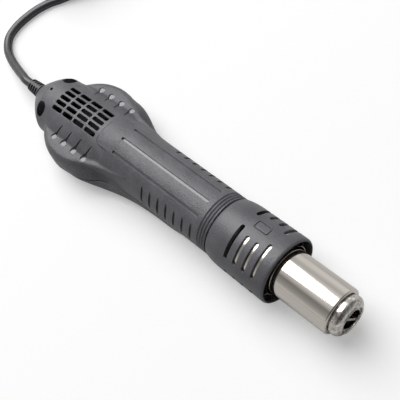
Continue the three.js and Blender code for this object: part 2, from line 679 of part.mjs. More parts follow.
function heatShield() {
  const start = COLLAR_X + SHIELD_START;
  const end = COLLAR_X + COLLAR_LENGTH;
  const sleeve = turned([
    [start, SHIELD_RADIUS - SHIELD_WALL],
    [start, SHIELD_RADIUS],
    [end, SHIELD_RADIUS],
    [end, SHIELD_RADIUS - SHIELD_WALL],
    [start, SHIELD_RADIUS - SHIELD_WALL],
  ]);
  const tabs = [];
  for (let i = 0; i < TAB.count; i += 1) {
    const height = [SHIELD_RADIUS - SHIELD_WALL / 2, COLLAR_RADIUS - COLLAR_WALL - GAP];
    const box = new THREE.BoxGeometry(TAB.length, TAB.width, height[1] - height[0]);
    box.translate(end - 1 - TAB.length / 2, 0, (height[0] + height[1]) / 2);
    tabs.push(solid(box.rotateX(radians(COLLAR_SPINE_ANGLE + (360 / TAB.count) * i))));
  }
  return join(sleeve, tabs);
}

function barrelTube() {
  const inner = BARREL_RADIUS - BARREL_WALL;
  return turned([
    [BARREL_X, inner],
    [BARREL_X, PLATE_RADIUS],
    [BARREL_X + BARREL_LIP, PLATE_RADIUS],
    [BARREL_X + BARREL_LIP, BARREL_RADIUS],
    [BARREL_END - 0.6, BARREL_RADIUS],
    [BARREL_END - 0.15, BARREL_RADIUS - 0.3],
    [BARREL_END, BARREL_RADIUS - 0.8],
    [BARREL_END, CAP_NECK_RADIUS + GAP],
    [BARREL_END - BARREL_LIP, CAP_NECK_RADIUS + GAP],
    [BARREL_END - BARREL_LIP, inner],
    [BARREL_X, inner],
  ]);
}

function outletCap() {
  const mouth = OUTLET_X - 2.5;
  const pocket = CAP_MOUTH_RADIUS + 1.2;
  return turned([
    [CAP_FLANGE_X, pocket],
    [CAP_FLANGE_X, BARREL_RADIUS - BARREL_WALL - GAP],
    [CAP_FLANGE_X + CAP_FLANGE, BARREL_RADIUS - BARREL_WALL - GAP],
    [CAP_FLANGE_X + CAP_FLANGE, CAP_NECK_RADIUS],
    [CAP_HEAD_X, CAP_NECK_RADIUS],
    [CAP_HEAD_X, CAP_RADIUS - 0.3],
    [CAP_HEAD_X + 0.3, CAP_RADIUS],
    [OUTLET_X - 2, CAP_RADIUS],
    [OUTLET_X - 0.9, CAP_RADIUS - 0.5],
    [OUTLET_X - 0.2, CAP_RADIUS - 1.4],
    [OUTLET_X, CAP_RADIUS - 2.1],
    [OUTLET_X, CAP_MOUTH_RADIUS],
    [mouth, CAP_MOUTH_RADIUS],
    [mouth, pocket],
    [CAP_FLANGE_X, pocket],
  ], 28);
}

// Two D-shaped windows on either side of a bar
function outletBaffle() {
  const end = OUTLET_X - 2.5 - GAP;
  const radius = CAP_MOUTH_RADIUS + 1.2 - GAP;
  const disc = turned(rod(radius, end - BAFFLE_THICKNESS, end), 24);
  const window = rodAlongX(CAP_MOUTH_RADIUS - 0.8, end - 5, end + 5, 0, 0, 20);
  const bar = block([end - 6, end + 6], [-10, 10], [-BAFFLE_BAR / 2, BAFFLE_BAR / 2]);
  return cut(disc, cut(window, bar));
}

function micaSleeve() {
  const [start, end] = [BARREL_X + 0.2, CAP_FLANGE_X - GAP];
  const inner = MICA_RADIUS - MICA_WALL;
  return turned([[start, inner], [start, MICA_RADIUS], [end, MICA_RADIUS], [end, inner], [start, inner]], 28);
}

function heaterPlate() {
  const end = PLATE_X + PLATE_THICKNESS;
  const disc = turned(rod(PLATE_RADIUS, PLATE_X, end), 28);
  const holes = [45, 135, 225, 315].map((angle) => {
    const centre = aroundAxis(0, PLATE_HOLE.circle, angle);
    return rodAlongX(PLATE_HOLE.radius, PLATE_X - 2, end + 2, centre.y, centre.z, 7);
  });
  const probe = rodAlongX(THERMOCOUPLE.radius + GAP, PLATE_X - 2, end + 2, THERMOCOUPLE.y, THERMOCOUPLE.z, 8);
  return cut(disc, holes, probe);
}

function heaterCore() {
  const fins = [
    block([CORE_X, CORE_END], [-CORE_RADIUS, CORE_RADIUS], [-CORE_FIN / 2, CORE_FIN / 2]),
    block([CORE_X, CORE_END], [-CORE_FIN / 2, CORE_FIN / 2], [-CORE_RADIUS, CORE_RADIUS]),
  ];
  return join(fins);
}

// One unbroken tube through the given points, with its sides counted from the upward direction
function tube(points, radius, sides, up = new THREE.Vector3(0, 0, 1)) {
  const rings = points.map((point, i) => {
    const from = points[Math.max(0, i - 1)];
    const to = points[Math.min(points.length - 1, i + 1)];
    const along = to.clone().sub(from).normalize();
    const across = new THREE.Vector3().crossVectors(up, along).normalize();
    const over = new THREE.Vector3().crossVectors(along, across);
    return Array.from({ length: sides }, (_, k) => {
      const angle = (2 * Math.PI * (k + 0.5)) / sides;
      return point.clone()
        .addScaledVector(across, radius * Math.cos(angle))
        .addScaledVector(over, radius * Math.sin(angle));
    });
  });
  return loft(rings);
}

function heaterWinding() {
  const radius = CORE_RADIUS + GAP + WIRE_RADIUS;
  const steps = 7;
  const length = WIRE_LOOPS * WIRE_PITCH;
  const start = (CORE_X + CORE_END - length) / 2;
  const points = [];
  const count = WIRE_LOOPS * steps;
  for (let i = 0; i <= count; i += 1) {
    const reach = radius / Math.cos(Math.PI / steps);
    points.push(aroundAxis(start + (length * i) / count, reach, (360 * i) / steps));
  }
  return tube(points, WIRE_RADIUS, 4, new THREE.Vector3(1, 0, 0));
}

// Fan: a cup with a ring of swept blades on a plate, turned by a motor inside the cup
function impeller() {
  const { bottom, thickness } = IMPELLER_PLATE;
  const inner = HUB_RADIUS - HUB_WALL;
  const bossRadius = SHAFT_RADIUS + GAP + 1;
  const bossBottom = HUB_TOP - HUB_WALL - 1.2;
  const body = turnedUpright([
    [inner, bottom],
    [IMPELLER_RADIUS, bottom],
    [IMPELLER_RADIUS, bottom + thickness],
    [HUB_RADIUS, bottom + thickness],
    [HUB_RADIUS, HUB_TOP - 0.6],
    [HUB_RADIUS - 0.6, HUB_TOP],
    [0, HUB_TOP],
    [0, HUB_TOP - HUB_WALL + 0.2],
    [SHAFT_RADIUS + GAP, HUB_TOP - HUB_WALL + 0.2],
    [SHAFT_RADIUS + GAP, bossBottom],
    [bossRadius, bossBottom],
    [bossRadius, HUB_TOP - HUB_WALL],
    [inner, HUB_TOP - HUB_WALL],
    [inner, bottom],
  ], DISC_X, 0, 20);
  const blades = [];
  for (let i = 0; i < BLADE.count; i += 1) blades.push(blade((360 / BLADE.count) * i));
  return join(body, blades);
}

function blade(turn) {
  const steps = 3;
  const [near, far] = [[], []];
  for (let i = 0; i <= steps; i += 1) {
    const t = i / steps;
    const radius = mix(HUB_RADIUS - 0.4, IMPELLER_RADIUS - 0.2, t);
    const angle = radians(turn + BLADE.sweep * t * t);
    const half = BLADE.thickness / 2 / radius;
    near.push(new THREE.Vector2(radius * Math.cos(angle - half), radius * Math.sin(angle - half)));
    far.unshift(new THREE.Vector2(radius * Math.cos(angle + half), radius * Math.sin(angle + half)));
  }
  const shape = new THREE.Shape([...near, ...far]);
  return upright(shape, IMPELLER_PLATE.bottom + IMPELLER_PLATE.thickness / 2, BLADE.top, DISC_X, 0);
}

const BEARING_BOTTOM = BASE_TOP - 2.6;
const BEARING_TOP = HUB_TOP - HUB_WALL - 1.2 - GAP;

function rotorShaft() {
  return post(SHAFT_RADIUS, DISC_X, 0, BEARING_BOTTOM + 0.6, HUB_TOP - HUB_WALL - 0.1, 16);
}

function bearing() {
  const inner = SHAFT_RADIUS + GAP;
  return turnedUpright([
    [inner, BEARING_BOTTOM],
    [BEARING_RADIUS, BEARING_BOTTOM],
    [BEARING_RADIUS, BEARING_TOP],
    [inner, BEARING_TOP],
    [inner, BEARING_BOTTOM],
  ], DISC_X, 0, SMALL_ROUND);
}

function motorBase() {
  const bottom = BASE_TOP - BASE_THICKNESS;
  const inner = BEARING_RADIUS + GAP;
  const body = turnedUpright([
    [inner, BEARING_BOTTOM],
    [TUBE_RADIUS, BEARING_BOTTOM],
    [TUBE_RADIUS, bottom],
    [BASE_RADIUS, bottom],
    [BASE_RADIUS, BASE_TOP],
    [TUBE_RADIUS, BASE_TOP],
    [TUBE_RADIUS, BEARING_TOP - 0.4],
    [inner, BEARING_TOP - 0.4],
    [inner, BEARING_BOTTOM],
  ], DISC_X, 0, 16);
  return cut(body, FAN_POST_ANGLES.map((angle) => {
    const x = DISC_X + FAN_POST_CIRCLE * Math.cos(radians(angle));
    const y = FAN_POST_CIRCLE * Math.sin(radians(angle));
    return post(FAN_SCREW.shank + GAP, x, y, bottom - 1, BASE_TOP + 1, 8);
  }));
}

// Laminated core with its teeth, standing round the bearing tube
function stator() {
  const shape = new THREE.Shape();
  const tooth = 360 / STATOR_TEETH;
  const steps = [[4.8, 0.5], [5.9, 0.36], [6.6, 0.3], [STATOR_RADIUS, 0.44]];
  const corners = [];
  for (let i = 0; i < STATOR_TEETH; i += 1) {
    const points = [...steps.map(([r, share]) => [r, -share]), ...[...steps].reverse()];
    for (const [radius, share] of points) {
      const angle = radians(tooth * (i + share));
      corners.push(new THREE.Vector2(radius * Math.cos(angle), radius * Math.sin(angle)));
    }
  }
  corners.pop();
  shape.setFromPoints(corners);
  const hole = new THREE.Path();
  hole.absarc(0, 0, TUBE_RADIUS + GAP, 0, 2 * Math.PI, true);
  shape.holes.push(hole);
  return upright(shape, BASE_TOP + GAP, HUB_TOP - HUB_WALL - 1, DISC_X, 0, 8);
}

function fanBoard() {
  const top = BASE_TOP - BASE_THICKNESS - GAP;
  const bottom = top - BOARD_THICKNESS;
  const disc = cut(
    post(BOARD_RADIUS, DISC_X, 0, bottom, top, 24),
    post(TUBE_RADIUS + GAP, DISC_X, 0, bottom - 1, top + 1),
  );
  const chips = [
    block([DISC_X + 4.5, DISC_X + 8], [-1.6, 1.6], [bottom - 1, bottom + 0.3]),
    block([DISC_X - 7.5, DISC_X - 5], [2.4, 4.8], [bottom - 0.9, bottom + 0.3]),
    block([DISC_X - 7.5, DISC_X - 5], [-4.8, -2.4], [bottom - 0.9, bottom + 0.3]),
  ];
  return join(disc, chips);
}

// Cable entry: boot, clamp and the leads inside the housing
function cableBoot() {
  const flangeX = BOOT_FLANGE.x;
  const body = turned([
    [BOOT_TIP_X, 0],
    [BOOT_TIP_X, BOOT_TIP_RADIUS - 0.3],
    [BOOT_TIP_X + 0.4, BOOT_TIP_RADIUS],
    [-GAP - 1.2, BOOT_BASE_RADIUS],
    [-GAP, BOOT_BASE_RADIUS],
    [-GAP, BOOT_NECK_RADIUS],
    [flangeX, BOOT_NECK_RADIUS],
    [flangeX, BOOT_FLANGE.radius],
    [flangeX + BOOT_FLANGE.thickness, BOOT_FLANGE.radius],
    [flangeX + BOOT_FLANGE.thickness, 0],
  ], 14);
  const slits = [];
  for (let i = 0; i < BOOT_RINGS; i += 1) {
    const x = BOOT_TIP_X + 1.5 + (i * (BOOT_LENGTH - 3)) / (BOOT_RINGS - 1);
    for (const side of [-1, 1]) {
      const angles = side < 0 ? [-155, -25] : [25, 155];
      slits.push(plainRingSlot(x, BOOT_SLIT, angles, CORD_RADIUS - 0.35, BOOT_BASE_RADIUS + 1));
    }
  }
  return cut(body, slits);
}

function cableClamp() {
  const [bottom, top] = [SEAM + 0.2, SEAM + 0.2 + CLAMP.height];
  const x = [CLAMP.x - CLAMP.width / 2, CLAMP.x + CLAMP.width / 2];
  const bar = block(x, [-CLAMP.halfSpan, CLAMP.halfSpan], [bottom, top]);
  const holes = [-1, 1].map((side) => {
    return post(CLAMP_SCREW.shank + GAP, CLAMP.x, side * CLAMP.screwY, bottom - 1, top + 1, 12);
  });
  return cut(bar, rodAlongX(LEADS_RADIUS + GAP, x[0] - 1, x[1] + 1, 0, CORD_HEIGHT), holes);
}

function innerLeads() {
  const start = flangeEnd;
  const low = -COLLAR_RADIUS + WALL + LEADS_RADIUS + GAP;
  const route = [
    [start, CORD_HEIGHT],
    [start + 4, CORD_HEIGHT],
    [CLAMP.x + 2.5, CORD_HEIGHT - 0.2],
    [20, -8.6],
    [26, low + 0.6],
    [33, low],
    [58, low],
    [70, -10.4],
    [84, -9.4],
    [110, -9.2],
    [PLATE_X - GAP - 4, -8.4],
    [PLATE_X - GAP, -8.4],
  ].map(([x, z]) => new THREE.Vector3(x, 0, z));
  const path = new THREE.CatmullRomCurve3(route, false, 'centripetal');
  return tube(path.getSpacedPoints(15), LEADS_RADIUS, 8);
}

// Free cable in the object's own frame: the barrel's axis lies one collar radius above the floor
const AXIS_HEIGHT = COLLAR_RADIUS;
const CORD_EXIT = [BOOT_TIP_X - TOOL_CENTRE_X - GAP, 0, AXIS_HEIGHT + CORD_HEIGHT];
const FLOOR_CLEARANCE = 0.05;
const CORD_REST = CORD_RADIUS + FLOOR_CLEARANCE;
const COIL_REST = CORD_RADIUS + FLOOR_CLEARANCE + TIE.thickness + GAP;
const heading = new THREE.Vector3(Math.cos(radians(COIL_HEADING)), Math.sin(radians(COIL_HEADING)), 0);
const coilEntry = new THREE.Vector3(...COIL_START, COIL_REST);

const CORD_ROUTE = [
  [CORD_EXIT[0], CORD_EXIT[1], CORD_EXIT[2]],
  [-116.1, 1.2, 9.4],
  [-121.1, 2.3, 8.1],
  [-131.1, 4.8, 5.4],
  [-140.6, 8.2, 3.2],
  [-146.3, 11.9, CORD_REST],
  [-149.9, 16.1, CORD_REST],
  [-151.8, 21.5, CORD_REST],
  [-152.4, 27.2, CORD_REST],
  [-152, 33.8, CORD_REST],
  [-150.9, 39.6, CORD_REST],
  [-148.4, 45.9, CORD_REST],
  [-145.3, 50.8, CORD_REST],
];

function freeCable() {
  const end = coilEntry.clone().addScaledVector(heading, -CORD_RADIUS * 2 - GAP);
  const points = CORD_ROUTE.map((point) => new THREE.Vector3(...point));
  points.splice(1, 0, new THREE.Vector3(CORD_EXIT[0] - 2 * CORD_RADIUS, CORD_EXIT[1], CORD_EXIT[2]));
  points.push(end.clone().addScaledVector(heading, -2 * CORD_RADIUS), end);
  const path = new THREE.CatmullRomCurve3(points, false, 'centripetal');
  const section = new THREE.Shape();
  section.absarc(0, 0, CORD_RADIUS, 0, 2 * Math.PI);
  const options = { steps: 26, curveSegments: 5, bevelEnabled: false, extrudePath: path };
  return { body: solid(new THREE.ExtrudeGeometry(section, options)), length: path.getLength() };
}

// The coil spirals in on the floor, climbs in half a turn and spirals out on top
function coilPoints() {
  const inwards = new THREE.Vector3(-heading.y, heading.x, 0);
  const centre = coilEntry.clone().addScaledVector(inwards, COIL_OUTER_RADIUS);
  const startAngle = COIL_HEADING - 90;
  const innerRadius = COIL_OUTER_RADIUS - COIL_LOOPS_BELOW * COIL_PITCH;
  const loops = COIL_LOOPS_BELOW + 0.5 + COIL_LOOPS_ABOVE;
  const points = [coilEntry.clone().addScaledVector(heading, -2 * CORD_RADIUS)];
  for (let i = 0; i <= loops * COIL_STEPS; i += 1) {
    const turn = i / COIL_STEPS;
    const climb = ease(COIL_LOOPS_BELOW, COIL_LOOPS_BELOW + 0.5, turn);
    const inward = COIL_OUTER_RADIUS - COIL_PITCH * turn;
    const outward = innerRadius + COIL_PITCH * (turn - COIL_LOOPS_BELOW - 0.5);
    const radius = Math.max(inward, outward);
    const angle = radians(startAngle + 360 * turn);
    const offset = new THREE.Vector3(radius * Math.cos(angle), radius * Math.sin(angle), climb * COIL_LAYER);
    points.push(centre.clone().add(offset));
  }
  return { points, centre };
}

const coil = coilPoints();
const connectorHeight = COIL_REST + COIL_LAYER + CORD_RADIUS + GAP + NUT.radius;

// The tail climbs over the coil's last turn and bends inwards, so that the connector lies on the coil
function tailPoints() {
  const from = COIL_LOOPS_BELOW + 0.5 + COIL_LOOPS_ABOVE;
  const startRadius = COIL_OUTER_RADIUS + COIL_PITCH * (COIL_LOOPS_ABOVE - COIL_LOOPS_BELOW);
  const startHeight = COIL_REST + COIL_LAYER;
  const direction = (angle) => new THREE.Vector3(Math.cos(radians(angle)), Math.sin(radians(angle)), 0);
  const points = [];
  const steps = Math.round(TAIL.loops * COIL_STEPS);
  for (let i = 1; i <= steps; i += 1) {
    const share = i / steps;
    const angle = COIL_HEADING - 90 + 360 * (from + TAIL.loops * share);
    const point = coil.centre.clone();
    point.addScaledVector(direction(angle), startRadius + TAIL.growth * share);
    point.z = startHeight + TAIL.climb * share * (0.4 + 0.6 * share);
    points.push(point);
  }
  const last = COIL_HEADING - 90 + 360 * (from + TAIL.loops);
  const centre = coil.centre.clone();
  centre.addScaledVector(direction(last), startRadius + TAIL.growth - TAIL.bend);
  for (let i = 1; i <= 6; i += 1) {
    const point = centre.clone().addScaledVector(direction(last + 15 * i), TAIL.bend);
    point.z = mix(startHeight + TAIL.climb, connectorHeight, ease(0, 1, i / 6.5));
    points.push(point);
  }
  points.push(points[points.length - 1].clone().addScaledVector(direction(last + 180), TAIL.reach));
  points[points.length - 1].z = connectorHeight;
  return { points, heading: last + 180 };
}

const tail = tailPoints();
coil.points.push(...tail.points);
const tailEnd = coil.points[coil.points.length - 1];

// Least distance between parts of the coil's tube that lie a good way apart along it
function leastSelfGap(points, radius) {
  let least = Infinity;
  const lengths = [0];
  for (let i = 1; i < points.length; i += 1) {
    lengths.push(lengths[i - 1] + points[i].distanceTo(points[i - 1]));
  }
  const fine = [];
  const steps = 4;
  for (let i = 1; i < points.length; i += 1) {
    for (let k = 0; k < steps; k += 1) {
      const t = k / steps;
      fine.push([points[i - 1].clone().lerp(points[i], t), mix(lengths[i - 1], lengths[i], t)]);
    }
  }
  for (let i = 0; i < fine.length; i += 1) {
    for (let j = i + 1; j < fine.length; j += 1) {
      if (fine[j][1] - fine[i][1] < 8 * radius) continue;
      least = Math.min(least, fine[i][0].distanceTo(fine[j][0]));
    }
  }
  return { gap: least - 2 * radius, length: lengths[lengths.length - 1] };
}

// The tie's strap goes round all turns of the coil at one place
function cableTie() {
  const inner = COIL_OUTER_RADIUS - COIL_LOOPS_BELOW * COIL_PITCH - CORD_RADIUS - 2 * GAP;
  const outer = COIL_OUTER_RADIUS + CORD_RADIUS + 2 * GAP;
  const [bottom, top] = [FLOOR_CLEARANCE, COIL_REST + COIL_LAYER + CORD_RADIUS + GAP + TIE.thickness];
  const angle = radians(TIE.angle);
  const length = outer - inner + 2 * TIE.thickness;
  const strap = new THREE.BoxGeometry(length, TIE.width, top - bottom);
  const room = new THREE.BoxGeometry(outer - inner, TIE.width + 2, top - bottom - 2 * TIE.thickness);
  const head = new THREE.BoxGeometry(3.2, TIE.width + 1.4, 4);
  const middle = (inner + outer) / 2;
  head.translate((outer - inner) / 2 + TIE.thickness + 1.3, 0, 0);
  const place = (box) => {
    const at = [middle * Math.cos(angle), middle * Math.sin(angle), (top + bottom) / 2];
    return solid(box.rotateZ(angle).translate(coil.centre.x + at[0], coil.centre.y + at[1], at[2]));
  };
  return join(cut(place(strap), place(room)), place(head));
}

// Connector, made along +x from the cable's end and then turned into place
const SHELL_START = GAP + CONNECTOR.bootLength + GAP;
const SHELL_END = SHELL_START + CONNECTOR.shellLength;

function connectorBoot() {
  const end = GAP + CONNECTOR.bootLength;
  return turned([
    [GAP, 0],
    [GAP, CORD_RADIUS + 0.8],
    [GAP + 0.6, CORD_RADIUS + 1.2],
    [end - 4, CONNECTOR.shellRadius - 2],
    [end - 3, CONNECTOR.shellRadius - 1.2],
    [end, CONNECTOR.shellRadius - 1.2],
    [end, 0],
  ], 20);
}

function connectorShell() {
  const r = CONNECTOR.shellRadius;
  const barrelR = r - CONNECTOR.wall;
  return turned([
    [SHELL_START, 0],
    [SHELL_START, r - 0.8],
    [SHELL_START + 0.8, r],
    [SHELL_START + 9, r],
    [SHELL_START + 9, r - 0.6],
    [SHELL_START + 10.2, r - 0.6],
    [SHELL_START + 10.2, r],
    [SHELL_START + 11, r],
    [SHELL_START + 11, barrelR],
    [SHELL_END, barrelR],
    [SHELL_END, barrelR - CONNECTOR.wall],
    [SHELL_END - 9, barrelR - CONNECTOR.wall],
    [SHELL_END - 9, 0],
  ], 18);
}

function connectorNut() {
  const start = SHELL_START + 11 + GAP;
  const end = start + NUT.length;
  const inner = CONNECTOR.shellRadius - CONNECTOR.wall + GAP;
  const body = turned([
    [start, inner],
    [start, NUT.radius - 0.5],
    [start + 0.5, NUT.radius],
    [end - 0.5, NUT.radius],
    [end, NUT.radius - 0.5],
    [end, inner + 0.4],
    [end - 0.4, inner],
    [start, inner],
  ], 20);
  const flutes = [];
  for (let i = 0; i < NUT.flutes; i += 1) {
    const at = aroundAxis(0, NUT.radius + 0.3, (360 / NUT.flutes) * i + 22.5);
    flutes.push(rodAlongX(0.8, start + 2, end - 2, at.y, at.z, 6));
  }
  return cut(body, flutes);
}

function connectorInsert() {
  const radius = CONNECTOR.shellRadius - 2 * CONNECTOR.wall - GAP;
  const start = SHELL_END - 9 + GAP;
  const disc = rodAlongX(radius, start, start + 2.5, 0, 0, 20);
  const pins = [];
  for (let i = 0; i < PIN.count; i += 1) {
    const ring = i === PIN.count - 1 ? 0 : PIN.circle * 0.86;
    const at = aroundAxis(0, ring, (360 / (PIN.count - 1)) * i);
    pins.push(rodAlongX(PIN.radius, start + 2, start + 2 + PIN.length - 1.5, at.y, at.z, 6));
  }
  return join(disc, pins);
}

// Assembly
const part = new THREE.Group();
const tool = new THREE.Group();
tool.position.set(-TOOL_CENTRE_X, 0, AXIS_HEIGHT);
part.add(tool);

tool.add(mesh('upper_shell', upperShell(), plastic));
tool.add(mesh('lower_shell', lowerShell(), plastic));
tool.add(mesh('vented_collar', ventedCollar(), plastic));
tool.add(mesh('heat_shield', heatShield(), steel));
tool.add(mesh('barrel_tube', barrelTube(), steel));
tool.add(mesh('outlet_cap', outletCap(), steel));
tool.add(mesh('outlet_baffle', outletBaffle(), steel));
tool.add(mesh('mica_sleeve', micaSleeve(), mica));
tool.add(mesh('heater_plate', heaterPlate(), mica));
tool.add(mesh('heater_core', heaterCore(), ceramic));
tool.add(mesh('heater_winding', heaterWinding(), steel));
const probe = rodAlongX(THERMOCOUPLE.radius, PLATE_X - 2, CORE_END + 1, THERMOCOUPLE.y, THERMOCOUPLE.z, 8);
tool.add(mesh('thermocouple', probe, steel));
tool.add(mesh('fan_impeller', impeller(), plastic));
tool.add(mesh('rotor_shaft', rotorShaft(), steel));
tool.add(mesh('fan_bearing', bearing(), brass));
tool.add(mesh('motor_base', motorBase(), plastic));
tool.add(mesh('motor_stator', stator(), copper));
tool.add(mesh('fan_board', fanBoard(), board));
FAN_POST_ANGLES.forEach((angle, i) => {
  const x = DISC_X + FAN_POST_CIRCLE * Math.cos(radians(angle));
  const y = FAN_POST_CIRCLE * Math.sin(radians(angle));
  tool.add(mesh(`fan_screw_${i + 1}`, panScrew(FAN_SCREW, x, y, BASE_TOP + SEAT), steel));
});
[-1, 1].forEach((side, i) => {
  const shellScrew = panScrew(SHELL_SCREW, WELL.x, side * WELL.y, WELL.floor + SEAT);
  tool.add(mesh(`shell_screw_${i + 1}`, shellScrew, steel));
  const clampTop = SEAM + 0.2 + CLAMP.height;
  const clampScrew = panScrew(CLAMP_SCREW, CLAMP.x, side * CLAMP.screwY, clampTop + SEAT);
  tool.add(mesh(`clamp_screw_${i + 1}`, clampScrew, steel));
});
const boot = mesh('cable_boot', cableBoot(), rubber);
boot.position.set(0, 0, CORD_HEIGHT);
tool.add(boot);
tool.add(mesh('cable_clamp', cableClamp(), plastic));
tool.add(mesh('inner_leads', innerLeads(), rubber));

const cable = freeCable();
part.add(mesh('cable', cable.body, rubber));
part.add(mesh('cable_coil', tube(coil.points, CORD_RADIUS, COIL_SIDES), rubber));
part.add(mesh('cable_tie', cableTie(), plastic));

const connector = new THREE.Group();
connector.position.copy(tailEnd);
connector.rotation.z = radians(tail.heading);
part.add(connector);
connector.add(mesh('connector_boot', connectorBoot(), rubber));
connector.add(mesh('connector_shell', connectorShell(), steel));
connector.add(mesh('connector_nut', connectorNut(), steel));
connector.add(mesh('connector_insert', connectorInsert(), ceramic));

const measured = leastSelfGap(coil.points, CORD_RADIUS);
console.log(`least gap of the coil to itself ${measured.gap.toFixed(2)} mm`);
console.log(`cable length ${(cable.length + measured.length).toFixed(0)} mm`);
console.log(`connector starts at ${tailEnd.toArray().map((v) => v.toFixed(4))}, turned by ${tail.heading % 360}`);

export default part;
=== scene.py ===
"""Looks for the hot air rework handpiece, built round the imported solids.

Shapes are worked out in mm in the tool's own frame: x runs along the barrel's axis from the
housing's rear face, and the axis lies at y = 0, z = 0. Every piece ends up in metres in the
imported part's frame.
"""

import math

import bpy
import numpy as np
from mathutils import Matrix, Vector


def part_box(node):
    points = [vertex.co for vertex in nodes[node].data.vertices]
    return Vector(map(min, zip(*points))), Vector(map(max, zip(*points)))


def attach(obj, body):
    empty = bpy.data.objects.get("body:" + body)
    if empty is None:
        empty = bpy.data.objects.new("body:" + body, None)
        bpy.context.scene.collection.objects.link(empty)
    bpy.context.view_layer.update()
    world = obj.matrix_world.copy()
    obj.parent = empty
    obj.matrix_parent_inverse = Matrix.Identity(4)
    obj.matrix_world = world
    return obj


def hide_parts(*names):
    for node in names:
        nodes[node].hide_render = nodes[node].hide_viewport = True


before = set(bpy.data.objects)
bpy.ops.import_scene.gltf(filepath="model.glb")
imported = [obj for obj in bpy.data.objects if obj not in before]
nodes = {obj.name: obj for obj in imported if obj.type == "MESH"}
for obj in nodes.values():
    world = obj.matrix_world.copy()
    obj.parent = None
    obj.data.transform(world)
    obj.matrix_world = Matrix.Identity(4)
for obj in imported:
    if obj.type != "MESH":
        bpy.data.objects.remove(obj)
scene = bpy.context.scene
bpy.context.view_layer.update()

AXIS_HEIGHT = 16.2
CENTRE_X = -1000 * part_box("upper_shell")[0].x

# Housing
SEAM = -5.2
SEAM_GAP = 0.5
WALL = 1.8
HANDLE_RADIUS = 14.75
HANDLE_REAR_RADIUS = 14.95
HANDLE_END = 133
COLLAR_RADIUS = 16.2
HEAD_REACH = 15
HEAD_HALF_WIDTH = 15.3
HEAD_FACE_HALF_WIDTH = 4.5
HEAD_POWER = 1.2
SPINE_HALF_WIDTH = 17.7
SPINE_END = 70
CROWN_REAR = 10.2
CROWN_FRONT = 13.9
BELLY_POWER = 2.3
DISC_X = 40.8
FLANK_BOTTOM = -14.6
FLANK_POWER = 2.2
PANEL_START = 58.9
PANEL_HALF_ANGLE = 35.5
PANEL_CORNER = 2.6
PANEL_HEIGHT = 14.6
GROOVE_FLOOR = 14.2
FAN_POST_ANGLES = (90, 210, 330)
FAN_POST_CIRCLE = 14.5
SHELL_SCREW_X, SHELL_SCREW_Y = 16.9, 10
CLAMP_X, CLAMP_Y = 11.5, 5
CABLE_HEIGHT = -5.4
GRILLE_START = 27.65
GRILLE_PITCH_X, GRILLE_PITCH_Y = 8.4, 3.15
GRILLE_SLOT = (7.3, 2.1, 0.85)
GROOVE_X, GROOVE_LENGTH = 97.85, 55.3
GROOVE_ANGLES = (-29.5, 0, 29.5)
RIB_START, RIB_PITCH, RIB_ANGLE = 93.3, 5.15, 67.5
RING_GROOVES = (128.7, 130.2, 131.7)
GRID_STEP = 0.62


def to_frame(points):
    """mm in the tool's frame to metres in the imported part's frame."""
    points = np.asarray(points, float)
    return (points + (-CENTRE_X, 0, AXIS_HEIGHT)) * 0.001


def mix(a, b, t):
    return a + (b - a) * t


def ease(start, end, x):
    t = np.clip((x - start) / (end - start), 0, 1)
    return t * t * (3 - 2 * t)


# ---- meshes


def beside(points, i):
    """The points before and after one, or that point itself at an end."""
    return points[max(0, i - 1)], points[min(len(points) - 1, i + 1)]


def put(name, data):
    obj = bpy.data.objects.new(name, data)
    scene.collection.objects.link(obj)
    return obj


def add_mesh(name, verts, faces):
    data = bpy.data.meshes.new(name)
    data.from_pydata(np.asarray(verts, float).tolist(), [], [tuple(f) for f in faces])
    data.validate()
    return put(name, data)


def dress(obj, material, replaces, body="handpiece", angle=35):
    """Material, shading and body of a finished piece; the parts that it replaces are hidden."""
    obj.data.materials.clear()
    obj.data.materials.append(material)
    for polygon in obj.data.polygons:
        polygon.use_smooth = True
    obj.data.set_sharp_from_angle(angle=math.radians(angle))
    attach(obj, body)
    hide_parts(*replaces)


def lathe_mesh(profile, sides, axis="x", x=0.0, y=0.0, closed=False):
    """Ring mesh from points (place along the axis, radius). Radius 0 makes a pole."""
    verts, faces, rings = [], [], []
    for along, radius in profile:
        count = sides if radius > 1e-6 else 1
        rings.append(range(len(verts), len(verts) + count))
        for k in range(count):
            angle = 2 * math.pi * k / sides
            verts.append((along, radius * math.cos(angle), radius * math.sin(angle)))
    for a, b in zip(rings, rings[1:] + (rings[:1] if closed else [])):
        for k in range(sides):
            n = (k + 1) % sides
            corners = (a[k % len(a)], a[n % len(a)], b[n % len(b)], b[k % len(b)])
            face = tuple(dict.fromkeys(corners))
            if len(face) > 2:
                faces.append(face)
    verts = np.array(verts)
    if axis == "z":
        verts = verts[:, (1, 2, 0)] + (x, y, 0)
    return verts, faces


def outward(verts, faces):
    """Faces turned so that the closed mesh has a positive volume."""
    verts = np.asarray(verts)
    volume = 0.0
    for face in faces:
        a = verts[face[0]]
        for i in range(1, len(face) - 1):
            volume += np.dot(a, np.cross(verts[face[i]], verts[face[i + 1]]))
    if volume < 0:
        faces = [tuple(reversed(f)) for f in faces]
    return verts, faces


def prism(outline, bottom, top):
    """Closed prism over an outline of points (x, y)."""
    return loft_mesh([[(x, y, z) for x, y in outline] for z in (bottom, top)])


def rounded_outline(length, width, corner, steps=4):
    points = []
    for sx, sy, start in ((1, 1, 0), (-1, 1, 90), (-1, -1, 180), (1, -1, 270)):
        for i in range(steps + 1):
            angle = math.radians(start + 90 * i / steps)
            x, y = sx * (length / 2 - corner), sy * (width / 2 - corner)
            points.append((x + corner * math.cos(angle), y + corner * math.sin(angle)))
    return points


def box_mesh(x, y, z):
    outline = [(x[0], y[0]), (x[1], y[0]), (x[1], y[1]), (x[0], y[1])]
    return prism(outline, *z)


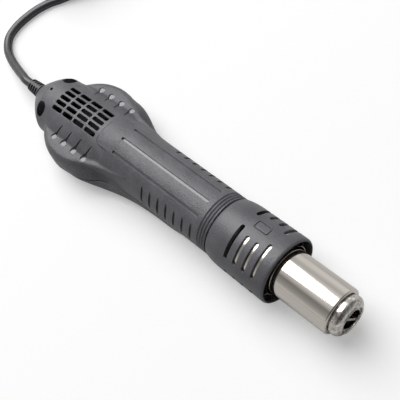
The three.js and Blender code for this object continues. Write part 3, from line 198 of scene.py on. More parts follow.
def turn_x(verts, degrees):
    """Turns points round the barrel's axis. The angle counts from the top towards -y."""
    c, s = math.cos(math.radians(degrees)), math.sin(math.radians(degrees))
    x, y, z = np.asarray(verts, float).T
    return np.stack([x, c * y - s * z, s * y + c * z], 1)


def loft_mesh(rings, loop=False):
    """Skin over rings that have the same count of points, with caps, or closed to a loop."""
    n = len(rings[0])
    verts = np.concatenate([np.asarray(r, float) for r in rings])
    faces = [] if loop else [tuple(range(n)), tuple(reversed(range(len(verts) - n, len(verts))))]
    for i in range(len(rings) - (0 if loop else 1)):
        a, b = i * n, (i + 1) % len(rings) * n
        faces += [(a + k, b + k, b + (k + 1) % n, a + (k + 1) % n) for k in range(n)]
    return outward(verts, faces)


def ring_slot(x, width, angles, inner, outer):
    """A slot with round ends that runs round the barrel's axis."""
    end_angle = math.degrees(width / (inner + outer))
    start, end = angles[0] + end_angle, angles[1] - end_angle
    count = max(2, round((angles[1] - angles[0]) / 5))
    turns = [i * math.pi / 8 for i in range(5)]
    sections = [(start - end_angle * math.cos(t), math.sin(t)) for t in turns]
    sections += [(mix(start, end, i / count), 1.0) for i in range(1, count)]
    sections += [(end + end_angle * math.cos(t), math.sin(t)) for t in reversed(turns)]
    rings = []
    for angle, share in sections:
        half = width / 2 * max(share, 0.12)
        corners = ((-half, inner), (half, inner), (half, outer), (-half, outer))
        rings.append(turn_x([(x + dx, 0, r) for dx, r in corners], angle))
    return loft_mesh(rings)


def joined(parts):
    """Several meshes as one list of vertices and faces."""
    verts, faces, base = [], [], 0
    for v, f in parts:
        v, f = outward(v, f)
        verts.append(v)
        faces += [tuple(i + base for i in face) for face in f]
        base += len(v)
    return np.concatenate(verts), faces


def boolean(obj, tool_mesh, operation="DIFFERENCE"):
    """Cuts the piece with a mesh in the tool's frame, in mm, and keeps the result."""
    tool = add_mesh("cutter", to_frame(tool_mesh[0]), tool_mesh[1])
    modifier = obj.modifiers.new("cut", "BOOLEAN")
    modifier.operation = operation
    modifier.solver = "MANIFOLD"
    modifier.object = tool
    bpy.context.view_layer.update()
    graph = bpy.context.evaluated_depsgraph_get()
    result = bpy.data.meshes.new_from_object(obj.evaluated_get(graph))
    old = obj.data
    obj.modifiers.clear()
    obj.data = result
    bpy.data.meshes.remove(old)
    bpy.data.objects.remove(tool)


# ---- housing as one smooth field


def smooth_min(a, b, k):
    h = np.clip(0.5 + 0.5 * (b - a) / k, 0, 1)
    return b + (a - b) * h - k * h * (1 - h)


def smooth_max(a, b, k):
    return -smooth_min(-a, -b, k)


def curve_through(x, stations, column):
    """Smooth value at x through the stations' values, flat beyond their ends."""
    xs = np.array([s[0] for s in stations], float)
    ys = np.array([s[column] for s in stations], float)
    slopes = np.gradient(ys, xs)
    x = np.clip(x, xs[0], xs[-1])
    i = np.clip(np.searchsorted(xs, x) - 1, 0, len(xs) - 2)
    h = xs[i + 1] - xs[i]
    t = (x - xs[i]) / h
    a, b = ys[i], ys[i + 1]
    m, n = slopes[i] * h, slopes[i + 1] * h
    level = a * (2 * t**3 - 3 * t**2 + 1) + m * (t**3 - 2 * t**2 + t)
    return level + b * (3 * t**2 - 2 * t**3) + n * (t**3 - t**2)


def section_distance(across, up, half, reach, power):
    """Distance to a section's outline, nearly, for a half width, a height and a fullness."""
    a, b = np.abs(across), np.abs(up)
    g = np.maximum((a / half) ** power + (b / reach) ** power, 1e-6) ** (1 / power)
    slope = np.hypot(a ** (power - 1) / half**power, b ** (power - 1) / reach**power)
    return (g - 1) * g ** (power - 1) / np.maximum(slope, 1e-9)


def polygon_distance(px, pz, points):
    """Signed distance to a closed polygon, negative inside."""
    best = np.full(px.shape, 1e18)
    inside = np.zeros(px.shape, bool)
    for (ax, az), (bx, bz) in zip(points, points[1:] + points[:1]):
        ex, ez = bx - ax, bz - az
        wx, wz = px - ax, pz - az
        t = np.clip((wx * ex + wz * ez) / (ex * ex + ez * ez), 0, 1)
        best = np.minimum(best, (wx - ex * t) ** 2 + (wz - ez * t) ** 2)
        crosses = (az > pz) != (bz > pz)
        if ez != 0:
            inside ^= crosses & (px < ax + ex * (pz - az) / ez)
    return np.where(inside, -1, 1) * np.sqrt(best)


# Station x, half width, height where it is widest, and rise above that height
FLANKS = [
    (44, 23.8, -4.5, 9), (50, 24, -4.5, 9.5), (55, 23.1, -5.2, 9.8), (59, 21.6, -6.8, 10),
    (63, 19.8, -8.6, 9.6), (67, 18.3, -9.8, 9.8), (75, 16.4, -9.2, 12), (84, 14.9, -9, 12),
    (94, 14, -9, 12), (110, 13.5, -9, 12), (124, 11.6, -9, 12),
]
# Radius and height of the fan bulge's outline
DISC_PROFILE = [
    (0, -16.2), (15, -16.2), (16.6, -15.9), (19.6, -13.7), (22.6, -10.6), (23.9, -8.7),
    (24.3, -7.2), (24.3, -2.2), (24.1, -0.5), (23.7, 1.0), (23.1, 2.2), (22.6, 2.85),
    (22.0, 3.3), (21.2, 3.55), (18.5, 4.0), (16, 4.3), (0, 4.4),
]
# Station x, half width and ridge height of the wing's top
PETAL = [
    (38, 22.2, 3.0), (44, 22.1, 3.0), (50, 21.0, 3.1), (55, 19.0, 3.6), (61.5, 16.8, 4.7),
    (69, 15.3, 5.9), (77, 14.0, 7.1), (82, 13.0, 7.9),
]


def spine_field(x, y, z):
    share = HEAD_FACE_HALF_WIDTH / HEAD_HALF_WIDTH
    dome_length = HEAD_REACH / (1 - share**HEAD_POWER) ** (1 / HEAD_POWER)
    behind = np.clip((HEAD_REACH - x) / dome_length, 0, 0.93)
    dome = (1 - behind**HEAD_POWER) ** (1 / HEAD_POWER)
    fade = 1 - ease(56, SPINE_END, x)
    side = mix(HEAD_HALF_WIDTH, SPINE_HALF_WIDTH, ease(HEAD_REACH, 34, x))
    half = mix(HANDLE_REAR_RADIUS - 2.2, side, fade) * dome
    crown = mix(CROWN_REAR, CROWN_FRONT, ease(10, 52, x)) + (1 - fade) * 0.8
    above = (crown - SEAM) * dome**HEAD_POWER
    below = (mix(HANDLE_REAR_RADIUS - 0.8, COLLAR_RADIUS, fade) + SEAM) * dome
    upper = section_distance(y, z - SEAM, half, above, 2.0)
    lower = section_distance(y, z - SEAM, half, below, BELLY_POWER)
    body = np.where(z > SEAM, upper, lower)
    return np.maximum(smooth_max(body, -x, 1.2), x - SPINE_END)


def handle_field(x, y, z):
    radius = np.interp(x, [50, 56, 66, 86], [12.6, 13.6, HANDLE_REAR_RADIUS, HANDLE_RADIUS])
    return np.maximum(np.maximum(np.hypot(y, z) - radius, 50 - x), x - HANDLE_END)


def flank_field(x, y, z):
    half = curve_through(x, FLANKS, 1)
    widest = curve_through(x, FLANKS, 2)
    rise = curve_through(x, FLANKS, 3)
    upper = section_distance(y, z - widest, half, rise, FLANK_POWER)
    lower = section_distance(y, z - widest, half, widest - FLANK_BOTTOM, FLANK_POWER)
    body = np.where(z > widest, upper, lower)
    return np.maximum(np.maximum(body, FLANKS[0][0] - x), x - FLANKS[-1][0])


def petal_field(x, y, z):
    """The bright top of the wing, which tapers on to the handle behind a soft ridge."""
    half = curve_through(x, PETAL, 1)
    ridge = curve_through(x, PETAL, 2)
    top = z - ridge - 0.2 * (half - np.abs(y))
    body = smooth_max(np.abs(y) - half, top, 0.9)
    return np.maximum(np.maximum(np.maximum(body, -9 - z), PETAL[0][0] - x), x - PETAL[-1][0])


def outer_field(x, y, z):
    disc = polygon_distance(np.hypot(x - DISC_X, y), z, DISC_PROFILE)
    bulge = smooth_min(disc, flank_field(x, y, z), 1.0)
    bulge = smooth_min(bulge, petal_field(x, y, z), 0.8)
    body = smooth_min(spine_field(x, y, z), handle_field(x, y, z), 1.2)
    return smooth_min(body, bulge, 0.6)


def fan_posts():
    """Places of the three posts that carry the fan's motor."""
    turns = [math.radians(angle) for angle in FAN_POST_ANGLES]
    return [(DISC_X + FAN_POST_CIRCLE * math.cos(t), FAN_POST_CIRCLE * math.sin(t)) for t in turns]


def shell_field(x, y, z, outer):
    radius = np.hypot(y, z)
    spigot = np.maximum(np.maximum(radius - 13.4, 129 - x), x - 140)
    hollow = np.maximum(outer + WALL, x - 122)
    hollow = np.minimum(hollow, np.maximum(radius - 12, 112 - x))
    body = np.maximum(np.minimum(outer, spigot), -hollow)
    posts = []
    for side in (-1, 1):
        posts.append((SHELL_SCREW_X, side * SHELL_SCREW_Y, 4.2, 20))
        posts.append((CLAMP_X, side * CLAMP_Y, 1.9, SEAM - 0.15))
    posts += [(px, py, 2.1, -7.3) for px, py in fan_posts()]
    for px, py, size, top in posts:
        post = np.maximum(np.hypot(x - px, y - py) - size, z - top)
        body = np.minimum(body, np.maximum(np.maximum(post, -20 - z), outer + 0.6))
    return body


def surface_net(field, origin, step):
    """Closed mesh of a grid's zero level, with one vertex in each cell that it crosses."""
    inside = field < 0
    shape = np.array(field.shape)
    count = np.zeros(shape - 1, np.int8)
    corners = [(i, j, k) for i in (0, 1) for j in (0, 1) for k in (0, 1)]
    for i, j, k in corners:
        count += inside[i : shape[0] - 1 + i, j : shape[1] - 1 + j, k : shape[2] - 1 + k]
    crossed = (count > 0) & (count < 8)
    cells = np.argwhere(crossed)
    index = np.full(crossed.shape, -1, np.int64)
    index[crossed] = np.arange(len(cells))
    value = {c: field[tuple((cells + c).T)] for c in corners}
    total, hits = np.zeros((len(cells), 3)), np.zeros(len(cells))
    for axis in range(3):
        for low in [c for c in corners if c[axis] == 0]:
            high = tuple(1 if n == axis else c for n, c in enumerate(low))
            a, b = value[low], value[high]
            hit = (a < 0) != (b < 0)
            t = np.where(hit, a / np.where(hit, a - b, 1), 0)
            point = np.tile(np.array(low, float), (len(cells), 1))
            point[:, axis] = t
            total[hit] += point[hit]
            hits += hit
    verts = origin + (cells + total / hits[:, None]) * step
    faces = []
    for axis in range(3):
        near = inside.take(range(shape[axis] - 1), axis)
        grid = np.argwhere(near != inside.take(range(1, shape[axis]), axis))
        start = near[tuple(grid.T)]
        u, v = np.eye(3, dtype=int)[[(axis + 1) % 3, (axis + 2) % 3]]
        quad = [index[tuple(q.T)] for q in (grid - u - v, grid - v, grid, grid - u)]
        quad = np.stack(quad, 1)
        quad[~start] = quad[~start][:, ::-1]
        faces.append(quad)
    return verts, np.concatenate(faces)


def housing_mesh():
    step = GRID_STEP
    low = np.array([-1.5, -26.2, -17.4]) + 0.013
    high = np.array([141.5, 26.2, 16.2])
    size = np.ceil((high - low) / step).astype(int) + 1
    axes = [low[i] + step * np.arange(size[i]) for i in range(3)]
    x, y, z = np.meshgrid(*axes, indexing="ij")
    outer = outer_field(x, y, z)
    field = shell_field(x, y, z, outer)
    verts, faces = surface_net(field, low, step)
    # The skin's vertices go exactly on to the outer and inner surface
    for _ in range(2):
        value = outer_field(*verts.T)
        shell = shell_field(*verts.T, value)
        grad = []
        for d in np.eye(3) * 0.02:
            grad.append((outer_field(*(verts + d).T) - outer_field(*(verts - d).T)) / 0.04)
        grad = np.stack(grad, 1)
        length = np.maximum((grad**2).sum(1), 0.25)
        on_outer = np.abs(shell - value) < 1e-6
        on_inner = np.abs(shell + value + WALL) < 1e-6
        away = np.where(on_outer, value, np.where(on_inner, value + WALL, 0))
        away = np.clip(away, -0.3 * step, 0.3 * step)
        verts = verts - grad * (away / length)[:, None]
    return verts, faces


# ---- cuts in the housing


def skin_height(x, y):
    """Height of the housing's top over a place, by halving."""
    low, high = -2.0, 16.5
    for _ in range(22):
        middle = (low + high) / 2
        solid = outer_field(*np.array([[x], [y], [middle]], float))[0] < 0
        low, high = (middle, high) if solid else (low, middle)
    return low


def slot_prism(x, y, length, width, corner, bottom, top, steps=4):
    outline = [(x + px, y + py) for px, py in rounded_outline(length, width, corner, steps)]
    return prism(outline, bottom, top)


def post_mesh(x, y, radius, bottom, top, sides=40):
    return lathe_mesh([(bottom, 0), (bottom, radius), (top, radius), (top, 0)], sides, "z", x, y)


def panel_corner(angle):
    """How far the panel's rounded rear corner draws back at an angle from the top."""
    into = (abs(angle) - PANEL_HALF_ANGLE) * math.radians(PANEL_HEIGHT) + PANEL_CORNER
    if into <= 0:
        return 0.0
    return PANEL_CORNER - math.sqrt(max(0.0, PANEL_CORNER**2 - into**2))


def panel_plate():
    """The raised panel's plate. Its rear edge is a low step that arcs across the top."""
    rings = []
    for angle in np.linspace(-PANEL_HALF_ANGLE, PANEL_HALF_ANGLE, 72):
        start = PANEL_START + panel_corner(angle)
        ring = [(start, 12.4), (74, 12.4), (74, 14.8), (start + 8, 15.02)]
        ring += [(start + 0.3, 14.95), (start + 0.1, 14.85), (start, 14.7)]
        drop = 0.1 * max(0, (abs(angle) - PANEL_HALF_ANGLE + 1.5) / 1.5)
        ring = [(x, 0, r - drop * (r > 13)) for x, r in ring]
        rings.append(turn_x(ring, angle))
    return loft_mesh(rings)


def step_groove():
    """The fine line that follows the panel's rear edge and turns forward at its corners."""
    line = [(x, PANEL_HALF_ANGLE + 0.8) for x in np.linspace(68, 62.4, 10)]
    for angle in np.linspace(PANEL_HALF_ANGLE, 26, 14):
        line.append((PANEL_START - 0.1 + panel_corner(angle), angle))
    line += [(PANEL_START - 0.1, a) for a in np.linspace(24, 0, 9)]
    line += [(x, -a) for x, a in reversed(line[:-1])]
    places = []
    for x, angle in line:
        radius = float(np.interp(x, [58.8, 62, 66, 70], [14.4, 14.62, 14.97, 14.95]))
        turn = math.radians(angle)
        places.append((Vector((x, -radius * math.sin(turn), radius * math.cos(turn))), turn))
    rings = []
    for i, (place, turn) in enumerate(places):
        before, after = beside(places, i)
        out = Vector((0, -math.sin(turn), math.cos(turn)))
        across = out.cross(after[0] - before[0]).normalized()
        fade = 0.35 + 0.65 * float(ease(68, 63, place.x))
        deep, lip = 0.8 * fade, 0.3 * fade
        section = [(-0.14, -deep), (0.14, -deep), (lip, 0.25)]
        section += [(0.5, 1.2), (-0.5, 1.2), (-lip, 0.25)]
        rings.append([tuple(place + across * u + out * up) for u, up in section])
    return loft_mesh(rings)


GILLS = [(35.4 + 7.25 * gill, side) for gill in range(4) for side in (-1, 1)]
GILL_INNER, GILL_REACH, GILL_BACK = 10.6, 6.9, 4.4
SHELF_SHARE = 0.86
SHELF_RADIUS, SHELF_LEVEL = 0.0018, 0.00012


def gill_shelf(x, side):
    """Middle of the level shelf at a gill's outer end."""
    px, py = x + 0.9 - GILL_BACK * SHELF_SHARE, side * (GILL_INNER + GILL_REACH * SHELF_SHARE)
    return px + 0.3, py, skin_height(px, py + side * 0.4) - 0.45


def gill_tool(x, side):
    """A gill: a thin crease that runs outwards and back and ends in a level shelf on the wing."""
    rings = []
    shelf = gill_shelf(x, side)[2]
    ahead = Vector((-GILL_BACK, GILL_REACH)).normalized()
    across = Vector((ahead.y, -ahead.x))
    for i in range(19):
        t = i / 18
        px, py = x + 0.9 - GILL_BACK * t, GILL_INNER + GILL_REACH * t
        skin = skin_height(px, side * py)
        wider = 0.7 * ease(0.5, 0.75, t)
        width = 0.12 + 0.26 * math.sin(min(1, t / 0.5) * math.pi / 2) + wider
        front = 1 + wider
        if t > 0.82:
            width *= math.sqrt(max(0.05, 1 - ((t - 0.82) / 0.18) ** 2))
        deep = skin - 0.15 - 1.45 * math.sin(min(1, t / 0.55) * math.pi / 2)
        floor = mix(deep, shelf, ease(0.5, 0.7, t))
        section = [(-1, 18), (-1, floor + 0.3), (-0.7, floor)]
        section += [(front, floor), (front + 0.2, floor + 0.5), (front + 0.5, 18)]
        ring = []
        for u, z in section:
            u *= width
            ring.append((px + across.x * u, side * (py + across.y * u), z))
        rings.append(ring)
    return loft_mesh(rings)


def polish_shelves(shell, look):
    """The gills' shelves and the long grooves' floors are smooth, the other plastic is grained."""
    shell.data.materials.append(look)
    places = [Vector(to_frame(gill_shelf(x, side))) for x, side in GILLS]
    for polygon in shell.data.polygons:
        at = polygon.center * 1000 + Vector((CENTRE_X, 0, -AXIS_HEIGHT))
        out = Vector((0, at.y, at.z))
        groove = 70 < at.x < 125.6 and abs(out.length - GROOVE_FLOOR - 0.02) < 0.1
        polished = groove and polygon.normal.dot(out) > 0.9 * out.length
        for away in [polygon.center - place for place in places if polygon.normal.z >= 0.97]:
            polished |= math.hypot(away.x, away.y) < SHELF_RADIUS and abs(away.z) < SHELF_LEVEL
        if polished:
            polygon.material_index = 1


def at_cable(verts):
    """Points round the barrel's axis, moved down to the cable's."""
    return verts + (0, 0, CABLE_HEIGHT)


def swept(points, radius, sides):
    """A round rod along a row of points."""
    rings = []
    for i, point in enumerate(points):
        before, after = beside(points, i)
        along = (after - before).normalized()
        across = Vector((0, 0, 1)).cross(along).normalized()
        over = along.cross(across)
        ring = []
        for k in range(sides):
            angle = 2 * math.pi * k / sides
            u, v = radius * math.cos(angle), radius * math.sin(angle)
            ring.append(point + across * u + over * v)
        rings.append(ring)
    return loft_mesh(rings)


def seam_groove(side):
    """A shallow round groove along the seam, so that both lips catch the light."""
    places = np.linspace(1.2, 130, 90)
    low, high = np.zeros_like(places), np.full_like(places, 27.0)
    for _ in range(24):
        middle = (low + high) / 2
        solid = outer_field(places, middle, np.full_like(places, SEAM)) < 0
        low, high = np.where(solid, middle, low), np.where(solid, high, middle)
    return swept([Vector((x, side * y, SEAM)) for x, y in zip(places, low)], 0.5, 10)


def housing_pieces():
    verts, faces = housing_mesh()
    body = add_mesh("housing_upper", to_frame(verts), faces)
    boolean(body, panel_plate(), "UNION")
    rows = [(GRILLE_START + row * GRILLE_PITCH_X, 5, 20) for row in range(4)]
    rows += [(DISC_X + row * GRILLE_PITCH_X, -20, -11) for row in (-0.5, 0.5)]
    grille = []
    for x, bottom, top in rows:
        for column in range(-2, 3):
            grille.append(slot_prism(x, column * GRILLE_PITCH_Y, *GRILLE_SLOT, bottom, top))
    boolean(body, joined(grille))
    grooves = []
    for angle in GROOVE_ANGLES:
        v, f = slot_prism(GROOVE_X, 0, GROOVE_LENGTH, 1.4, 0.7, GROOVE_FLOOR, 18, 6)
        grooves.append((turn_x(v, angle), f))
    for rib in range(7):
        for side in (-1, 1):
            v, f = slot_prism(RIB_START + RIB_PITCH * rib, 0, 1.3, 14, 0.3, 13.9, 18, 2)
            grooves.append((turn_x(v, side * RIB_ANGLE), f))
    boolean(body, joined(grooves))
    boolean(body, step_groove())
    rings = []
    for x in RING_GROOVES:
        ring = [(x, 14.2), (x + 0.7, 14.85), (x + 0.7, 16), (x - 0.7, 16), (x - 0.7, 14.85)]
        rings.append(lathe_mesh(ring, 96, closed=True))
    end = [(132.95, 13.4), (134.5, 13.4), (134.5, 16), (132.95, 16)]
    rings.append(lathe_mesh(end, 96, closed=True))
    boolean(body, joined(rings))
    boolean(body, joined([gill_tool(x, side) for x, side in GILLS]))
    holes, screws = [], []
    for side in (-1, 1):
        holes.append(post_mesh(SHELL_SCREW_X, side * SHELL_SCREW_Y, 3, -2, 20))
        holes.append(post_mesh(CLAMP_X, side * CLAMP_Y, 1.1, -13, -4, 20))
        screws.append(post_mesh(SHELL_SCREW_X, side * SHELL_SCREW_Y, 1.4, -14.5, -1, 24))
    holes.append(post_mesh(16.1, 0, 0.8, 4, 20, 20))
    holes += [post_mesh(x, y, 1.1, -12.6, -4, 16) for x, y in fan_posts()]
    boolean(body, joined(holes))
    boolean(body, joined(screws))
    v, f = lathe_mesh([(-2, 0), (-2, 3.2), (2.7, 3.2), (2.7, 3.9), (5.5, 3.9), (5.5, 0)], 40)
    boolean(body, joined([(at_cable(v), f)]))
    boolean(body, joined([seam_groove(side) for side in (-1, 1)]))
    lower = put("housing_lower", body.data.copy())
    half = SEAM_GAP / 2
    boolean(body, box_mesh((-30, 180), (-40, 40), (SEAM + half, 40)), "INTERSECT")
    boolean(lower, box_mesh((-30, 180), (-40, 40), (-40, SEAM - half)), "INTERSECT")
    return body, lower


# ---- materials


def new_material(name):
    material = bpy.data.materials.new(name)
    material.use_nodes = True
    return material, material.node_tree, material.node_tree.nodes["Principled BSDF"]


def colour(*srgb):
    """The linear colour of sRGB levels from 0 to 255."""
    shares = [level / 255 for level in srgb]
    return [s / 12.92 if s <= 0.04045 else ((s + 0.055) / 1.055) ** 2.4 for s in shares] + [1]


def fill(tree, node, inputs):
    """Sets a node's inputs to plain values, or links them where an output is given."""
    for name, value in inputs.items():
        if isinstance(value, bpy.types.NodeSocket):
            tree.links.new(value, node.inputs[name])
        else:
            node.inputs[name].default_value = value


def make(tree, kind, output, inputs=None, **settings):
    """One output of a new node that has these settings and inputs."""
    node = tree.nodes.new(kind)
    for name, value in settings.items():
        setattr(node, name, value)
    fill(tree, node, inputs or {})
    return node.outputs[output]


def noise(tree, scale, detail, stretch=None):
    place = make(tree, "ShaderNodeTexCoord", "Object")
    if stretch:
        place = make(tree, "ShaderNodeMapping", "Vector", {"Scale": stretch, "Vector": place})
    inputs = {"Scale": scale, "Detail": detail, "Roughness": 0.55, "Vector": place}
    return make(tree, "ShaderNodeTexNoise", "Fac", inputs)


def spread(tree, value, low, high, start=0.3, end=0.7):
    """The value's range from start to end becomes low to high."""
    inputs = {"Value": value, "From Min": start, "From Max": end, "To Min": low, "To Max": high}
    return make(tree, "ShaderNodeMapRange", "Result", inputs)


def tint(tree, factor, a, b):
    """Mix of two colours, plain or linked."""
    inputs = {"Factor": factor, "A": a, "B": b}
    return make(tree, "ShaderNodeMix", "Result", inputs, data_type="RGBA")


def math_node(tree, operation, a, b):
    return make(tree, "ShaderNodeMath", "Value", {0: a, 1: b}, operation=operation)


def surface(name, dark, bright, rough, grain, grain_depth, metal=0.0, wear=0.0, patch=120,
            stretch=None, specular=0.5, edge_round=0.0):
    """Body colour with patches, a fine grain, uneven gloss and lighter worn edges.

    The two colours are sRGB from 0 to 255, grain and patch are noise scales per metre.
    """
    material, tree, shader = new_material(name)
    dark, bright = colour(*dark), colour(*bright)
    patches = noise(tree, patch, 3, stretch=stretch)
    fine = noise(tree, grain, 2, stretch=stretch)
    blend = math_node(tree, "MULTIPLY", math_node(tree, "ADD", patches, fine), 0.5)
    result = tint(tree, spread(tree, blend, 0, 1, 0.38, 0.62), dark, bright)
    if wear:
        edge = spread(tree, make(tree, "ShaderNodeNewGeometry", "Pointiness"), 0, wear, 0.53, 0.62)
        worn = math_node(tree, "MULTIPLY", edge, spread(tree, noise(tree, 700, 3), 0.3, 1))
        result = tint(tree, worn, result, [min(1, c * 2.2) for c in bright[:3]] + [1])
    relief = {"Distance": grain_depth, "Height": fine}
    if edge_round:
        inputs = {"Radius": edge_round}
        relief["Normal"] = make(tree, "ShaderNodeBevel", "Normal", inputs, samples=6)
    fill(tree, shader, {
        "Base Color": result, "Roughness": spread(tree, fine, rough - 0.06, rough + 0.06),
        "Metallic": metal, "Specular IOR Level": specular,
        "Normal": make(tree, "ShaderNodeBump", "Normal", relief),
    })
    return material


WORN = {"wear": 0.4, "specular": 0.6, "edge_round": 3e-4}
housing_look = surface("housing_plastic", (81, 81, 85), (103, 103, 108), 0.4, 1500, 2.4e-4, **WORN)
shelf_look = surface("shelf_plastic", (81, 81, 85), (103, 103, 108), 0.2, 1500, 3e-5, specular=1.0)
collar_look = surface("collar_plastic", (79, 79, 83), (97, 97, 102), 0.38, 1500, 1.6e-4, **WORN)
rubber_look = surface("cable_rubber", (52, 52, 55), (66, 66, 69), 0.25, 2400, 3e-5, specular=0.7)
boot_look = surface("boot_rubber", (74, 74, 76), (82, 82, 85), 0.42, 3000, 3e-5, edge_round=1.5e-4)
cap_look = surface("cap_steel", (160, 152, 144), (232, 230, 226), 0.12, 900, 2e-5, 1, patch=420)
shield_look = surface("shield_steel", (206, 200, 190), (226, 221, 212), 0.17, 700, 1.2e-5, 1)
steel_look = surface("barrel_steel", (208, 202, 193), (216, 210, 202), 0.11, 900, 1.2e-6, 1,
                     stretch=(0.15, 6, 6))
bright_look = surface("bright_steel", (224, 222, 216), (232, 230, 225), 0.24, 1600, 4e-6, 1)
screw_look = surface("screw_steel", (150, 150, 150), (172, 172, 172), 0.32, 2600, 8e-6, 1)
mica_look = surface("mica", (150, 128, 96), (176, 152, 118), 0.42, 900, 3e-5)
ceramic_look = surface("ceramic", (214, 206, 190), (232, 226, 212), 0.72, 2600, 3e-5)
wire_look = surface("heater_wire", (120, 112, 104), (150, 140, 128), 0.4, 3000, 1e-5, 1)
# Near black, darker than the other black plastics: the fan's own black plastic with painted shade
# of the housing's dark inside.
fan_black_and_shade_look = surface("fan_plastic", (9, 9, 10), (13, 13, 14), 0.7, 3500, 2e-5, specular=0.2)
brass_look = surface("brass", (190, 150, 78), (206, 168, 96), 0.3, 2600, 8e-6, 1)
stator_look = surface("stator_steel", (60, 62, 66), (76, 78, 82), 0.42, 2200, 1e-5, 1)
board_look = surface("board", (22, 74, 46), (30, 88, 56), 0.4, 1500, 1e-5)
tie_look = surface("tie_plastic", (30, 30, 31), (38, 38, 40), 0.42, 2600, 2e-5)
connector_look = surface("connector_metal", (178, 178, 176), (196, 196, 194), 0.28, 2000, 6e-6, 1)
insert_look = surface("insert_plastic", (34, 34, 36), (42, 42, 44), 0.5, 2600, 2e-5)

# Solids that keep their CAD shape and only get a look
for look, names in (
    (mica_look, "mica_sleeve"), (bright_look, "heater_plate thermocouple rotor_shaft"),
    (ceramic_look, "heater_core"), (wire_look, "heater_winding"), (brass_look, "fan_bearing"),
    # The fan, motor base and cable clamp sit inside the housing, and their near-black colour
    # carries painted shade.
    (fan_black_and_shade_look, "fan_impeller motor_base cable_clamp"), (stator_look, "motor_stator"),
    (board_look, "fan_board"), (tie_look, "inner_leads"), (insert_look, "connector_insert"),
    (screw_look, "fan_screw_1 fan_screw_2 fan_screw_3 clamp_screw_1 clamp_screw_2"),
):
    for name in names.split():
        nodes[name].data.materials.clear()
        nodes[name].data.materials.append(look)


# ---- camera, cable, floor and light


def photo_camera():
    data = bpy.data.cameras.new("camera")
    data.lens, data.sensor_width = 80.652, 36
    data.clip_start, data.clip_end = 0.01, 20
    camera = put("camera", data)
    right = Vector((0.703162, 0.67615, -0.219963))
    up = Vector((-0.521337, 0.700641, 0.487145))
    back = right.cross(up)
    matrix = Matrix((right, up, back)).transposed().to_4x4()
    matrix.translation = Vector((0.209684, -0.088502, 0.353243))
    camera.matrix_world = matrix
    scene.camera = camera


CORD_RADIUS = 2.35
COIL_STEPS = 24
COIL_ENTRY = Vector((-134.5, 67, 3.2))
COIL_HEADING = 56
COIL_RADIUS, COIL_PITCH, COIL_LAYER = 30.5, 5.25, 5.15
COIL_BELOW, COIL_ABOVE = 3, 3.125
TAIL_LOOPS, TAIL_GROWTH, TAIL_CLIMB = 0.3, 1.2, 8.5
TAIL_BEND, TAIL_REACH = 12, 3
CONNECTOR_HEIGHT = 20.5
ROUTE = [
    (-105.65, 0, 10.8), (-110.35, 0, 10.8), (-116.1, 1.2, 9.4), (-121.1, 2.3, 8.1),
    (-131.1, 4.8, 5.4), (-140.6, 8.2, 3.2), (-146.3, 11.9, 2.4), (-149.9, 16.1, 2.4),
    (-151.8, 21.5, 2.4), (-152.4, 27.2, 2.4), (-152, 33.8, 2.4), (-150.9, 39.6, 2.4),
    (-148.4, 45.9, 2.4), (-145.3, 50.8, 2.4), (-139.92, 58.96, 3.2), (-137.3, 62.86, 3.2),
]


def direction(degrees):
    angle = math.radians(degrees)
    return Vector((math.cos(angle), math.sin(angle), 0))


def cord_points():
    """The route on the floor, the coil and the tail that climbs on to it, in mm."""
    points = [Vector(p) for p in ROUTE]
    centre = COIL_ENTRY + direction(COIL_HEADING + 90) * COIL_RADIUS
    start = COIL_HEADING - 90
    inner = COIL_RADIUS - COIL_BELOW * COIL_PITCH
    loops = COIL_BELOW + 0.5 + COIL_ABOVE
    for i in range(int(loops * COIL_STEPS) + 1):
        turn = i / COIL_STEPS
        inwards = COIL_RADIUS - COIL_PITCH * turn
        radius = max(inwards, inner + COIL_PITCH * (turn - COIL_BELOW - 0.5))
        point = centre + direction(start + 360 * turn) * radius
        point.z += COIL_LAYER * float(ease(COIL_BELOW, COIL_BELOW + 0.5, turn))
        points.append(point)
    outer = COIL_RADIUS + COIL_PITCH * (COIL_ABOVE - COIL_BELOW)
    height = COIL_ENTRY.z + COIL_LAYER
    steps = round(TAIL_LOOPS * COIL_STEPS)
    for i in range(1, steps + 1):
        share = i / steps
        angle = start + 360 * (loops + TAIL_LOOPS * share)
        point = centre + direction(angle) * (outer + TAIL_GROWTH * share)
        point.z = height + TAIL_CLIMB * share * (0.4 + 0.6 * share)
        points.append(point)
    last = start + 360 * (loops + TAIL_LOOPS)
    bend = centre + direction(last) * (outer + TAIL_GROWTH - TAIL_BEND)
    for i in range(1, 7):
        point = bend + direction(last + 15 * i) * TAIL_BEND
        point.z = mix(height + TAIL_CLIMB, CONNECTOR_HEIGHT, float(ease(0, 1, i / 6.5)))
        points.append(point)
    tip = points[-1] + direction(last + 180) * TAIL_REACH
    tip.z = CONNECTOR_HEIGHT
    return points + [tip]


def cable_curve(look):
    """The whole cable as one smooth curve through the route's points."""
    points = [p * 0.001 for p in cord_points()]
    data = bpy.data.curves.new("cable_cord", "CURVE")
    data.dimensions = "3D"
    data.bevel_depth = CORD_RADIUS * 0.001
    data.bevel_resolution = 8
    data.resolution_u = 8
    data.use_fill_caps = True
    spline = data.splines.new("BEZIER")
    spline.bezier_points.add(len(points) - 1)
    for i, point in enumerate(points):
        before, after = beside(points, i)
        along = (after - before).normalized()
        bezier = spline.bezier_points[i]
        bezier.handle_left_type = bezier.handle_right_type = "FREE"
        bezier.co = point
        bezier.handle_left = point - along * ((point - before).length / 3)
        bezier.handle_right = point + along * ((after - point).length / 3)
    cord = put("cable_cord", data)
    data.materials.append(look)
    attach(cord, "handpiece")
    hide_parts("cable", "cable_coil")
    return cord


